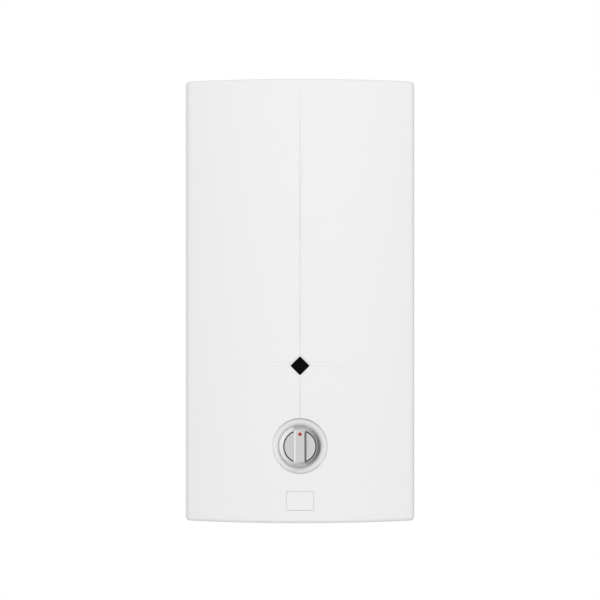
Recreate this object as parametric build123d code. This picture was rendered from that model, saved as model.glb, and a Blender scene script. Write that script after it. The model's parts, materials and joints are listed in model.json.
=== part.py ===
from build123d import *
import math
import os

# A wall-mounted three-phase instantaneous water heater, in millimetres. The wall is the plane y = 0,
# the room lies towards negative y and +Z is up. The origin is the middle of the four wall fixings.
# A depth is a distance out from the wall, so a point at depth d lies at y = -d.

# The case: a one-piece cover with a bowed front, leaning in a little from the wall to the front
case_height = 440.0
case_width = 230.0
case_depth = 118.0
front_bow = 23.0
side_lean = 1.0
end_lean = 1.2
cover_wall = 2.6
side_edge_radius = 8.0
end_edge_radius = 4.0
skirt_gap = 1.0

# What the front carries, by height above the lower edge
window_rise = 156.3
knob_rise = 77.4
badge_rise = 23.5

# The crossed creases: a groove upright, and a fine raised line across that climbs towards the wall
crease_top_margin = 13.5
crease_wide = 8.0
crease_narrow = 2.8
crease_deep = 1.1
crease_shallow = 0.6
cross_crease_reach = 104.0
cross_crease_width = 3.2
cross_crease_height = 0.35
cross_crease_climb = 8.0

# The dish and the knob
dish_radius = 27.2
dish_depth = 2.4
dish_edge = 0.6
dish_gap = 0.6
knob_radius = 20.75
knob_face_radius = 17.0
knob_height = 12.0
knob_cone = 3.4
grip_height = 6.5
grip_width = 11.8
grip_draft = 0.8
grip_end_radius = 16.4
grip_bevel = 1.6
ring_groove_width = 1.3
ring_groove_depth = 2.4
dot_radius = 1.75
dot_height = 12.6
dot_thickness = 0.6
hub_radius = 9.6
hub_clearance = 0.3
hub_reach = 6.0
keeper_thickness = 1.2
keeper_width = 3.0

# The diamond window
lens_side = 13.3
lens_corner = 1.2
lens_setback = 0.9
lens_thickness = 3.6
lens_lip = 1.6
lens_lip_thickness = 1.2
bezel_side = 18.7
bezel_depth = 1.2

# The bare plate near the lower edge
badge_width = 27.0
badge_height = 19.0
badge_corner = 2.0
badge_recess = 1.3
badge_thickness = 0.8

# The back plate
plate_thickness = 3.2
rim_depth = 16.0
rim_wall = 2.4
rim_clearance = 0.4
boss_height = 5.0
boss_radius = 5.0
gusset_reach = 8.0
gusset_thickness = 1.6
gusset_pitch = 44.0
fixing_inset_x = 27.0
fixing_inset_z = 35.0
fixing_hole_radius = 3.0
fixing_boss_radius = 9.0
pipe_window_width = 150.0
pipe_window_height = 42.0
cover_notch_depth = 64.0
ear_thickness = 3.5

# Screws: head radius, head height, shank radius, and length under the head
plate_screw = (3.8, 2.4, 1.9, 6.8)
clamp_screw = (3.4, 2.2, 1.9, 9.0)
valve_screw = (3.2, 3.0, 1.9, 13.0)
cover_screw = (4.0, 2.6, 2.0, 11.0)
thread_clearance = 0.05
seat_gap = 0.3

# Water connections, G 1/2, and their pipes
connection_spacing = 100.0
connection_depth = 45.0
connection_recess = 15.0
thread_radius = 10.48
thread_length = 18.0
nipple_flats = 24.0
nipple_hex = 8.0
nipple_top_radius = 9.5
nipple_top = 10.0
nipple_bore = 6.0
washer_thickness = 2.0
union_flats = 22.0
union_length = 14.0
union_lip = 4.0
pipe_radius = 6.0
pipe_bore = 5.0
pipe_bend = 18.0
pipe_clearance = 0.1
pipe_seat = 0.2
union_play = 2.0
nipple_sheet = 2.0
nipple_bracket_width = 50.0

# The heating vessel and its elements
vessel_wall = 1.5
vessel_rise = 190.0
vessel_top_room = 55.0
vessel_dome = 12.0
outlet_drop = 20.0
pipe_wall_gap = 5.0
pipe_column_gap = 15.0
hot_pipe_rise = 35.0
flange_reach = 10.5
flange_gap = 4.2
flange_thickness = 6.0
flange_gasket = 1.5
flange_bolt_inset = 5.0
flange_bolt_radius = 2.5
flange_nut_flats = 8.0
flange_nut_height = 4.0
element_radius = 4.2
element_inset = 16.0
element_foot = 14.0
element_stud_radius = 2.0
element_neck = 7.0
element_stud = 13.0
stud_nut_flats = 7.0
stud_nut_height = 3.2
bridge_thickness = 1.2
bridge_width = 8.0
strap_width = 14.0
strap_thickness = 1.2
strap_clearance = 0.2
strap_foot = 14.0
strap_share = 0.61
strap_drop = 53.0
collar_reach = 9.0
collar_socket = 6.0
collar_radius = 8.5

# The membrane valve that lifts the rocker lever
bowl_radius = 25.0
bowl_height = 22.0
valve_inlet = 17.0
valve_flange_radius = 28.5
valve_flange = 6.0
membrane_radius = 22.5
membrane_thickness = 1.6
dome_radius = 21.0
dome_height = 12.0
gland_radius = 7.0
gland_height = 8.0
valve_wall = 3.0
port_radius = 9.0
port_reach = 38.0
pusher_radius = 14.0
pusher_thickness = 2.4
pusher_pin_radius = 2.0
adjuster_drop = 4.5
strip_width = 18.0
strip_thickness = 3.0

# The switch, its rocker lever and its plunger
switch_left = 18.0
switch_height = 64.0
switch_back = 20.0
switch_thickness = 36.0
switch_fin = 2.0
switch_fin_reach = 10.0
switch_ear = 10.0
switch_ear_thickness = 2.5
pole_width = 26.0
plunger_inset = 8.0
plunger_radius = 3.0
plunger_collar = 5.5
plunger_clearance = 0.1
lever_width = 14.0
lever_sheet = 2.0
lever_cheek = 1.5
lever_side_gap = 0.5
lever_drop = 18.0
lever_room = 20.4
pivot_inset = 8.0
pivot_pin_radius = 2.0
pivot_clearance = 0.06
pivot_drop = 4.5
bracket_sheet = 1.5
adjuster_radius = 2.5
adjuster_flats = 8.0

# The rotary power selector behind the knob
selector_side = 40.0
selector_gap = 4.3
selector_wafers = 3
selector_setback = 20.0
bushing_radius = 4.5
bushing_reach = 5.0
bushing_nut_flats = 14.0
bushing_nut_height = 3.0
shaft_radius = 3.0
shaft_flat = 2.0
shaft_clearance = 0.05
socket_clearance = 0.15
selector_strap = 24.0

# The thermal cut-out on the vessel's front
cutout_drop = 88.0
cutout_room = 9.0
cutout_width = 34.0
cutout_height = 34.0
cutout_depth = 17.0
cutout_ear = 8.0
cutout_ear_thickness = 3.0
cutout_tab = 8.0
reset_radius = 3.5
reset_proud = 4.0

# Terminal block, cable entry, lamp and inner wires
ways = 5
way_pitch = 16.0
terminal_left = 15.0
terminal_drop = 85.0
terminal_height = 30.0
terminal_base = 10.0
terminal_ear = 8.0
terminal_ear_thickness = 2.5
barrier_height = 12.0
barrier_thickness = 2.0
clamp_plate = 1.6
entry_x = 55.0
entry_drop = 35.0
entry_radius = 6.5
entry_hole_radius = 11.0
entry_flange = 3.0
entry_snout = 13.0
lamp_radius = 3.1
lamp_length = 14.0
lamp_post = 8.0
lamp_gap = 10.0
lamp_foot = 25.0
lamp_foot_thickness = 2.5
wire_radius = 1.9
thin_wire_radius = 1.0

# Worked out from the sizes above: the case
side_depth = case_depth - front_bow
bow_radius = ((case_width / 2) ** 2 + front_bow ** 2) / (2 * front_bow)
dish_floor = case_depth - dish_depth
dish_back = dish_floor - cover_wall
boss_face = plate_thickness + boss_height
rim_inset = cover_wall + rim_clearance
top_z = case_height / 2
bottom_z = -top_z
window_z = bottom_z + window_rise
knob_z = bottom_z + knob_rise
badge_z = bottom_z + badge_rise
terminal_z = top_z - terminal_drop
entry_z = top_z - entry_drop
fixing_span_x = case_width - 2 * fixing_inset_x
fixing_span_z = case_height - 2 * fixing_inset_z
inner_half_width = case_width / 2 - side_lean - cover_wall
lens_front = case_depth - lens_setback
lens_seat = lens_front - lens_thickness
cover_screw_x = pipe_window_width / 2 + 17.0
cover_screw_depth = rim_depth + 8.0
cup_floor_z = bottom_z + cover_screw[1] + 1.2
cup_top_z = cup_floor_z + cover_wall
ear_z = cup_top_z + seat_gap

# The water way, from the connections up
hot_x = -connection_spacing / 2
cold_x = connection_spacing / 2
connection_z = bottom_z + connection_recess
nipple_shoulder_z = connection_z + thread_length + nipple_hex
nipple_screw_z = nipple_shoulder_z + 13.0
hot_pipe_foot_z = nipple_shoulder_z + nipple_top + pipe_seat
valve_base_z = nipple_shoulder_z + washer_thickness + valve_inlet
membrane_z = valve_base_z + bowl_height
membrane_top_z = membrane_z + membrane_thickness
valve_flange_top_z = membrane_top_z + valve_flange
port_z = valve_base_z + 10.0
port_end_x = cold_x - port_reach
valve_gland_z = valve_flange_top_z + dome_height + gland_height
vessel_bottom_z = bottom_z + vessel_rise
vessel_top_z = top_z - vessel_top_room
cutout_z = vessel_top_z - cutout_drop
cutout_low_z = cutout_z - cutout_height / 2 - cutout_tab
strap_heights = (vessel_bottom_z + strap_share * (cutout_low_z - vessel_bottom_z), vessel_top_z - strap_drop)
outlet_z = vessel_top_z - outlet_drop
flange_low_z = vessel_top_z + flange_gasket
flange_top_z = flange_low_z + flange_thickness
neck_top_z = flange_top_z + element_neck

# The switch and its lever
switch_right = switch_left + 3 * pole_width + switch_fin
switch_front = switch_back + switch_thickness
lever_top_z = valve_gland_z + lever_room
switch_bottom_z = lever_top_z + lever_drop
switch_top_z = switch_bottom_z + switch_height
switch_ear_x = (switch_left + switch_ear, switch_right - switch_ear)
switch_ear_z = (switch_bottom_z - 6.0, switch_top_z + 6.0)
switch_ways = [switch_left + switch_fin / 2 + (i + 0.5) * pole_width for i in range(3)]
switch_rows = (switch_bottom_z + 10.0, switch_top_z - 10.0)
plunger_x = switch_left + plunger_inset
plunger_room_low = switch_bottom_z + 9.0
plunger_room_high = switch_bottom_z + 32.0
plunger_room_radius = plunger_collar + 0.7
pivot_x = switch_right - pivot_inset
lever_near = connection_depth - lever_width / 2
lever_far = connection_depth + lever_width / 2
pivot_z = lever_top_z - pivot_drop
pusher_top_z = lever_top_z - lever_sheet - adjuster_drop - seat_gap
strip_ends = (valve_base_z - 16.0, lever_top_z - 10.0)


def inside_depth(x):
    """Depth of the cover's inner front face at a place across."""
    return case_depth - cover_wall - bow_radius + math.sqrt(bow_radius ** 2 - x ** 2)


# What stands behind the front: the vessel fills the depth between its flange's back and the cut-out
cutout_front = inside_depth(0.2 * case_width) - cutout_room
vessel_radius = (cutout_front - cutout_depth - plate_thickness - flange_gap - flange_reach) / 2
flange_radius = vessel_radius + flange_reach
flange_bolt_circle = flange_radius - flange_bolt_inset
element_circle = vessel_radius - element_inset
hot_pipe_x = -(inner_half_width - pipe_wall_gap - pipe_radius)
vessel_x = hot_pipe_x + pipe_radius + pipe_column_gap + vessel_radius
vessel_depth = plate_thickness + flange_gap + flange_radius
saddle_depth = vessel_depth - 0.6 * vessel_radius
cutout_back = vessel_depth + vessel_radius + 2.0
cutout_stud_x = cutout_width / 2 + cutout_ear / 2
cutout_tab_x = [vessel_x + i * 11.0 for i in (-1, 0, 1)]
cutout_tab_depth = cutout_front - 8.0
strap_screw_x = vessel_radius + strap_clearance + strap_thickness + strap_foot / 2
selector_front = case_depth - selector_setback
selector_back = connection_depth + union_flats / math.sqrt(3) + selector_gap
bushing_front = selector_front + bracket_sheet + bushing_reach
selector_leg = selector_side / 2 + 4.0
selector_feet = (knob_z + selector_leg + 10.0, knob_z - selector_leg + 8.0)
shaft_tip = case_depth + 1.0
grip_front = case_depth + knob_height
knob_face = grip_front - grip_height
ring_back = dish_back - seat_gap - keeper_thickness
hub_back = dish_back - hub_reach
keeper_groove = hub_radius - 1.2
lamp_tip = case_depth - lamp_gap
lamp_back = lamp_tip - lamp_length

# The terminals and the wires under their screws
wire_room = 2 * wire_radius + 0.2
wire_stop = clamp_screw[2] + seat_gap
switch_screw_seat = switch_front + clamp_plate + wire_room
switch_wire_depth = switch_front + clamp_plate + wire_room / 2
terminal_right = terminal_left + ways * way_pitch
terminal_ways = [terminal_left + (i + 0.5) * way_pitch for i in range(ways)]
terminal_rows = (terminal_z - 6.5, terminal_z + 6.5)
terminal_face = boss_face + terminal_base
terminal_seat = terminal_face + clamp_plate + wire_room
terminal_wire_depth = terminal_face + clamp_plate + wire_room / 2


def slab(outline, near, far):
    """An outline seen from the room, x and z, made solid between two depths."""
    return extrude(Plane.XZ.offset(near) * outline, far - near)


def column(outline, low, high):
    """An outline in plan, x and y, made solid between two heights."""
    return extrude(Plane.XY.offset(low) * outline, high - low)


def block(across, depth, up):
    """A box from its limits across, out from the wall and up."""
    width, height = across[1] - across[0], up[1] - up[0]
    middle = Pos((across[0] + across[1]) / 2, (up[0] + up[1]) / 2)
    return slab(middle * Rectangle(width, height), *depth)


def peg(x, z, radius, near, far):
    """A round bar square to the wall."""
    return slab(Pos(x, z) * Circle(radius), near, far)


def post(x, depth, radius, low, high):
    """A round upright bar."""
    return column(Pos(x, -depth) * Circle(radius), low, high)


def hexagon(flats):
    """A hexagon by the distance across its flats."""
    return RegularPolygon(flats / 2, 6, major_radius=False)


def turned_up(x, depth, outline):
    """A round part on an upright axis; its outline is points of radius and height."""
    return Pos(x, -depth, 0) * revolve(Plane.XZ * make_face(Polyline(*outline, close=True)), Axis.Z)


def turned_out(x, z, outline):
    """A round part on an axis square to the wall; its outline is points of radius and depth."""
    points = [(radius, -depth) for radius, depth in outline]
    return Pos(x, 0, z) * revolve(make_face(Polyline(*points, close=True)), Axis.Y)


def bent(points, radius, section):
    """A section carried along straight runs joined by arcs; each point is x, depth and z."""
    path = FilletPolyline(*[(x, -depth, z) for x, depth, z in points], radius=radius)
    return sweep(Plane(path @ 0, z_dir=path % 0) * section, path)


def sheet(points, bend, width, thickness, wide):
    """Sheet metal bent along a route; wide is the direction of its width."""
    path = FilletPolyline(*[(x, -depth, z) for x, depth, z in points], radius=bend)
    return sweep(Plane(path @ 0, x_dir=wide, z_dir=path % 0) * Rectangle(width, thickness), path)


def easy_radii(points):
    """The widest easy bend at each corner of a wire's route."""
    corners = [Vector(x, -depth, z) for x, depth, z in points]
    radii = []
    for before, corner, after in zip(corners, corners[1:], corners[2:]):
        first, second = corner - before, after - corner
        turn = math.radians(first.get_angle(second))
        radii.append(0.45 * min(first.length, second.length) / math.tan(turn / 2))
    return radii


def wire(points, radius=wire_radius):
    """An insulated wire along its route, drawn with six flats."""
    return bent(points, easy_radii(points), RegularPolygon(radius, 6))


def group(solids):
    """Separate pieces of one kind, kept in one file."""
    return Compound(children=[solid for piece in solids for solid in piece.solids()])


def screw(x, z, seat, sizes):
    """A screw driven towards the wall with the underside of its head at a depth."""
    head, height, shank, length = sizes
    return peg(x, z, head, seat, seat + height) + peg(x, z, shank, seat - length, seat)


def screw_hole(x, z, seat, sizes):
    """The hole that a screw's shank fills, a little deeper than the screw reaches."""
    shank, length = sizes[2:]
    return peg(x, z, shank + thread_clearance, seat - length - seat_gap, seat)


def hood(inset, rear):
    """The case's outer form drawn in by an inset, from y = rear to the bowed front."""
    reach = case_depth + 10.0
    half_width = case_width / 2 - inset
    half_height = case_height / 2 - inset
    lean = side_lean / side_depth
    drop = end_lean / case_depth
    corners = [(half_width + lean * rear, rear), (half_width - lean * reach, -reach)]
    plan = make_face(Polyline(*corners, *[(-x, y) for x, y in reversed(corners)], close=True))
    plan = plan & Pos(0, bow_radius - case_depth) * Circle(bow_radius - inset)
    plan = fillet(plan.vertices().group_by(Axis.Y)[0], max(side_edge_radius - inset, 1.0))
    ends = [(rear, half_height + drop * rear), (-reach, half_height - drop * reach)]
    side = make_face(Polyline(*ends, *[(y, -z) for y, z in reversed(ends)], close=True))
    form = extrude(plan, case_height, both=True) & extrude(Plane.YZ * side, case_width, both=True)
    if end_edge_radius - inset < 0.5:
        return form
    end_faces = form.faces().sort_by(Axis.Z)
    edges = [edge for face in (end_faces[0], end_faces[-1]) for edge in face.edges()
             if edge.center().Y < rear - 0.1]
    return fillet(edges, end_edge_radius - inset)


def upright_crease():
    """The long groove: fading at the top, wide in the middle, fine near the dish, steeper at its core."""
    proud = 0.5

    def cut(z, width, depth):
        core, shoulder = 0.16 * width, 0.4 * depth
        half = width / 2 + proud * (width / 2 - core) / shoulder
        front = -case_depth
        outline = Polyline((-half, front - proud), (half, front - proud), (core, front + shoulder),
                           (0, front + depth), (-core, front + shoulder), close=True)
        return Plane.XY.offset(z) * make_face(outline)

    top, window_top = top_z - crease_top_margin, window_z + bezel_side / math.sqrt(2)
    reach = top - window_top
    return loft([cut(top, crease_narrow, crease_shallow / 2),
                 cut(top - 0.3 * reach, crease_wide, crease_deep),
                 cut(window_top + 0.25 * reach, crease_wide, crease_deep),
                 cut(window_top, crease_narrow, crease_shallow),
                 cut(knob_z, crease_narrow, crease_shallow)], ruled=True)


def cross_crease():
    """The raised line across the front: it follows a tighter bow than the face, so it fades at its ends."""
    sunk = 0.5
    fall = bow_radius - math.sqrt(bow_radius ** 2 - cross_crease_reach ** 2) + cross_crease_height + 0.03
    sagitta = fall / math.cos(math.radians(cross_crease_climb))
    tighter = (cross_crease_reach ** 2 + sagitta ** 2) / (2 * sagitta)
    foot = tighter - cross_crease_height - sunk
    half = cross_crease_width / 2 * (cross_crease_height + sunk) / cross_crease_height
    outline = Polyline((tighter, 0), (foot, half), (foot, -half), close=True)
    sweep_angle = 2 * math.degrees(math.asin(cross_crease_reach / tighter))
    ridge = Rot(0, 0, -90 - sweep_angle / 2) * revolve(Plane.XZ * make_face(outline), Axis.Z, sweep_angle)
    crown = case_depth + cross_crease_height
    return Pos(0, -crown, window_z) * Rot(cross_crease_climb, 0, 0) * Pos(0, tighter, 0) * ridge


def diamond(side, corner=0.0):
    """A square stood on its corner at the window's place."""
    square = RectangleRounded(side, side, corner) if corner else Rectangle(side, side)
    return Pos(0, window_z) * Rot(0, 0, 45) * square


def badge_outline(clearance=0.0):
    """The outline of the bare plate, or of its recess."""
    width, height = badge_width - clearance, badge_height - clearance
    return Pos(0, badge_z) * RectangleRounded(width, height, badge_corner)


def front_cover():
    """The moulded cover, open at the wall side and notched below for the pipes."""
    cover = hood(0, -skirt_gap) - hood(cover_wall, 5.0)
    within = hood(cover_wall / 2, 0)
    dish_boss = peg(0, knob_z, dish_radius + cover_wall, dish_back, case_depth)
    window_boss = slab(diamond(bezel_side + 2 * cover_wall), lens_seat, case_depth)
    cups = [post(side * cover_screw_x, cover_screw_depth, cover_screw[0] + 1.0 + cover_wall,
                 bottom_z, cup_top_z) for side in (-1, 1)]
    cover += within & (dish_boss + window_boss + cups[0] + cups[1])
    cover += cross_crease()
    cover -= upright_crease()
    rim = case_depth - dish_edge
    cover -= turned_out(0, knob_z, [(0, dish_floor), (dish_radius, dish_floor), (dish_radius, rim),
                                    (dish_radius + 3 * dish_edge, rim + 3 * dish_edge),
                                    (0, rim + 3 * dish_edge)])
    cover -= peg(0, knob_z, hub_radius + hub_clearance, dish_back - 1, dish_floor + 1)
    proud, seat_side = 1.0, lens_side + 0.6
    wide = seat_side + (bezel_side - seat_side) * (bezel_depth + proud) / bezel_depth
    cover -= loft([Plane.XZ.offset(case_depth - bezel_depth) * diamond(seat_side),
                   Plane.XZ.offset(case_depth + proud) * diamond(wide)])
    cover -= slab(diamond(lens_side + 0.2, lens_corner), lens_seat - 1, case_depth)
    cover -= slab(badge_outline(), case_depth - badge_recess, case_depth + 1)
    for side in (-1, 1):
        x = side * cover_screw_x
        cover -= post(x, cover_screw_depth, cover_screw[0] + 1.0, bottom_z - 1, cup_floor_z)
        cover -= post(x, cover_screw_depth, cover_screw[2] + 0.2, bottom_z, cup_top_z + 1)
    half = pipe_window_width / 2
    return cover - block((-half, half), (-1, cover_notch_depth), (bottom_z - 1, bottom_z + 10))


def diamond_window():
    """The dark lens: its face sits below the front, its lip is held behind the cover."""
    lens = slab(diamond(lens_side, lens_corner), lens_seat, lens_front)
    lens = fillet(lens.faces().sort_by(Axis.Y)[0].edges(), 0.5)
    return lens + slab(diamond(lens_side + 2 * lens_lip), lens_seat - lens_lip_thickness, lens_seat)


def badge_plate():
    """The bare plate in its shallow recess."""
    floor = case_depth - badge_recess
    plate = slab(badge_outline(0.2), floor, floor + badge_thickness)
    return chamfer(plate.faces().sort_by(Axis.Y)[0].edges(), 0.25)


def cover_screws():
    """Two screws under the bottom edge, each with its captive square nut above the slotted ear."""
    head, height, shank, length = cover_screw
    pieces = []
    for side in (-1, 1):
        x, depth = side * cover_screw_x, cover_screw_depth
        bolt = post(x, depth, head, cup_floor_z - height, cup_floor_z)
        bolt += post(x, depth, shank, cup_floor_z, cup_floor_z + length)
        nut_z = ear_z + ear_thickness + seat_gap
        nut = column(Pos(x, -depth) * Rectangle(7.0, 7.0), nut_z, nut_z + 2.4)
        pieces += [bolt, nut - post(x, depth, shank + thread_clearance, nut_z - 1, nut_z + 5)]
    return group(pieces)


def shaft_outline(clearance=0.0):
    """The round shaft with its flat, or the socket that fits it."""
    radius = shaft_radius + clearance
    flat = shaft_flat + clearance
    return Circle(radius) & Pos((flat - radius) / 2, 0) * Rectangle(flat + radius, 2 * radius)


def knob():
    """The rotary knob: a coned skirt, a ring groove, two hollows and a bevelled grip bar."""
    back = dish_floor + dish_gap
    skirt = knob_face - knob_cone
    groove_outer = knob_face_radius - 0.6
    groove_inner = groove_outer - ring_groove_width
    hollow_floor = knob_face - 2.2
    body = turned_out(0, knob_z, [
        (0, hub_back), (hub_radius, hub_back), (hub_radius, ring_back - 0.1),
        (keeper_groove, ring_back - 0.1), (keeper_groove, ring_back + keeper_thickness + 0.1),
        (hub_radius, ring_back + keeper_thickness + 0.1), (hub_radius, back), (knob_radius, back),
        (knob_radius, skirt), (knob_face_radius, knob_face), (groove_outer, knob_face),
        (groove_outer, knob_face - ring_groove_depth), (groove_inner, knob_face - ring_groove_depth),
        (groove_inner, knob_face - 0.4), (0, hollow_floor)])
    half = grip_width / 2
    flank = Polyline((-half - grip_draft, -skirt), (half + grip_draft, -skirt), (half, -grip_front),
                     (-half, -grip_front), close=True)
    grip = column(make_face(flank), knob_z - knob_radius, knob_z + knob_radius)
    grip &= turned_out(0, knob_z, [(0, skirt - 1), (knob_radius - 0.1, skirt - 1), (knob_radius - 0.1, skirt),
                                   (grip_end_radius, grip_front), (0, grip_front)])
    grip = chamfer(grip.faces().sort_by(Axis.Y)[0].edges(), grip_bevel)
    body += grip
    body -= peg(0, knob_z + dot_height, dot_radius + 0.05, grip_front - dot_thickness, grip_front + 1)
    return body - slab(Pos(0, knob_z) * shaft_outline(socket_clearance), hub_back - 1, shaft_tip + 1)


def knob_dot():
    """The red dot let into the grip bar's upper end."""
    return peg(0, knob_z + dot_height, dot_radius, grip_front - dot_thickness, grip_front)


def knob_keeper():
    """The split spring ring that holds the knob's hub behind the cover."""
    near, far = ring_back, ring_back + keeper_thickness
    inner = keeper_groove + thread_clearance
    ring = peg(0, knob_z, inner + keeper_width, near, far) - peg(0, knob_z, inner, near - 1, far + 1)
    slot = block((-1.5, 1.5), (near - 1, far + 1), (knob_z - inner - keeper_width - 1, knob_z))
    return ring - slot


def selector_shaft():
    """The selector's flatted shaft, which slips into the knob's socket."""
    return slab(Pos(0, knob_z) * shaft_outline(), selector_back + 3, shaft_tip)


def selector_body():
    """The rotary switch: three wafers under a threaded bushing."""
    half = selector_side / 2
    outline = Pos(0, knob_z) * RectangleRounded(selector_side, selector_side, 4.0)
    core = Pos(0, knob_z) * RectangleRounded(selector_side - 3.0, selector_side - 3.0, 3.0)
    pitch = (selector_front - selector_back) / selector_wafers
    body = slab(core, selector_back, selector_front)
    for i in range(selector_wafers):
        start = selector_back + i * pitch
        body += slab(outline, start + 0.8, start + pitch - 0.8)
    for z in (knob_z - half / 2, knob_z + half / 2):
        body += block((half - 1, half + 5), (selector_back + 4, selector_back + 10), (z - 0.6, z + 0.6))
    body += peg(0, knob_z, bushing_radius, selector_front, bushing_front)
    bore = shaft_radius + shaft_clearance
    return body - peg(0, knob_z, bore, selector_back + 3 - seat_gap, bushing_front + 1)


def selector_bracket():
    """The bent steel strap that carries the selector by its bushing."""
    near, far = boss_face + bracket_sheet / 2, selector_front + bracket_sheet / 2
    top, bottom = knob_z + selector_leg, knob_z - selector_leg
    route = [(0, near, selector_feet[0] + 6), (0, near, top), (0, far, top),
             (0, far, bottom), (0, near, bottom), (0, near, selector_feet[1] + 6)]
    strap = sheet(route, 3.0, selector_strap, bracket_sheet, (1, 0, 0))
    strap -= peg(0, knob_z, bushing_radius + thread_clearance, selector_front - 1, bushing_front)
    return drilled(strap, "selector_bracket")


def bushing_nut():
    """The hexagon nut on the selector's bushing."""
    near = selector_front + bracket_sheet
    return slab(Pos(0, knob_z) * (hexagon(bushing_nut_flats) - Circle(bushing_radius + thread_clearance)),
                near, near + bushing_nut_height)


# Everything that a plate screw holds: across, height, depth of its seat and thickness of the held piece
fixings = {
    "vessel_straps": [(vessel_x + side * strap_screw_x, z, boss_face, strap_thickness)
                      for side in (-1, 1) for z in strap_heights],
    "selector_bracket": [(0, z, boss_face, bracket_sheet) for z in selector_feet],
    "nipple_bracket": [(hot_x + side * 15.0, nipple_screw_z, boss_face, nipple_sheet) for side in (-1, 1)],
    "valve_strip": [(cold_x, z, boss_face, strip_thickness)
                    for z in (strip_ends[0] + 6.0, strip_ends[1] - 6.0)],
    "terminal_block": [(x, terminal_z, boss_face, terminal_ear_thickness)
                       for x in (terminal_left - terminal_ear / 2, terminal_right + terminal_ear / 2)],
    "lamp_bracket": [(0, window_z + side * lamp_foot / 2, boss_face, lamp_foot_thickness)
                     for side in (-1, 1)],
    "switch_body": [(x, z, switch_back, switch_ear_thickness) for x in switch_ear_x for z in switch_ear_z],
}
all_fixings = [place for places in fixings.values() for place in places]


def drilled(piece, name):
    """A held piece with the holes that its plate screws pass through."""
    for x, z, seat, held in fixings[name]:
        piece -= peg(x, z, plate_screw[2] + thread_clearance, seat - 1, seat + held + 1)
    return piece


def plate_screws():
    """The screws that hold the inner parts on the back plate's bosses."""
    return group(screw(x, z, seat + held, plate_screw) for x, z, seat, held in all_fixings)


def back_plate():
    """The moulded back plate: floor, rim inside the cover, bosses, saddles, gussets and slotted ears."""
    face = Rectangle(case_width, case_height)
    plate = hood(rim_inset, 0) & slab(face, 0, rim_depth)
    plate -= hood(rim_inset + rim_wall, -plate_thickness)
    rim_x = case_width / 2 - rim_inset - rim_wall
    for side in (-1, 1):
        tip = Polyline((side * (rim_x + 1), -1), (side * (rim_x - gusset_reach), -plate_thickness),
                       (side * (rim_x + 1), -rim_depth + 2), close=True)
        for i in range(-4, 5):
            plate += column(make_face(tip), i * gusset_pitch, i * gusset_pitch + gusset_thickness)
        x, slot = side * cover_screw_x, cover_screw[2] + seat_gap
        ear_front = cover_screw_depth + 7.0
        plate += block((x - 8, x + 8), (1, ear_front), (ear_z, ear_z + ear_thickness))
        plate -= block((x - slot, x + slot), (cover_screw_depth, ear_front + 1), (ear_z - 1, ear_z + 5))
        plate -= post(x, cover_screw_depth, slot, ear_z - 1, ear_z + 5)
    for x, z, seat, _ in all_fixings:
        plate += peg(x, z, boss_radius, 1, seat)
    for z in strap_heights:
        half = strap_width / 2
        plate += block((vessel_x - 16, vessel_x + 16), (1, saddle_depth), (z - half, z + half))
    plate -= post(vessel_x, vessel_depth, vessel_radius + strap_clearance, vessel_bottom_z, vessel_top_z)
    for x in (-fixing_span_x / 2, fixing_span_x / 2):
        for z in (-fixing_span_z / 2, fixing_span_z / 2):
            plate += peg(x, z, fixing_boss_radius, 1, boss_face)
            plate -= peg(x, z, fixing_hole_radius, -1, boss_face + 1)
    for x, z, seat, held in all_fixings:
        plate -= screw_hole(x, z, seat + held, plate_screw)
    plate -= peg(entry_x, entry_z, entry_hole_radius, -1, boss_face)
    plate -= peg(entry_x, entry_z, entry_hole_radius + entry_flange, -1, plate_thickness / 2)
    half = pipe_window_width / 2
    return plate - block((-half, half), (-1, rim_depth + 1), (bottom_z - 1, bottom_z + pipe_window_height))


def cable_grommet():
    """The rubber grommet of the supply cable's entry, held in the plate by its groove."""
    outer = entry_hole_radius + entry_flange - 0.3
    neck = entry_hole_radius - 0.1
    near, far = plate_thickness / 2, plate_thickness
    tip = far + entry_flange + entry_snout
    return turned_out(entry_x, entry_z, [
        (entry_radius, seat_gap), (outer, seat_gap), (outer, near), (neck, near), (neck, far),
        (outer, far), (outer - 0.6, far + entry_flange), (entry_radius + 4.0, far + entry_flange),
        (entry_radius + 1.6, tip), (entry_radius, tip)])


def rod_across(depth, z, radius, left, right):
    """A round bar lying across the case."""
    return extrude(Plane.YZ.offset(left) * Pos(-depth, z) * Circle(radius), right - left)


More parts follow.
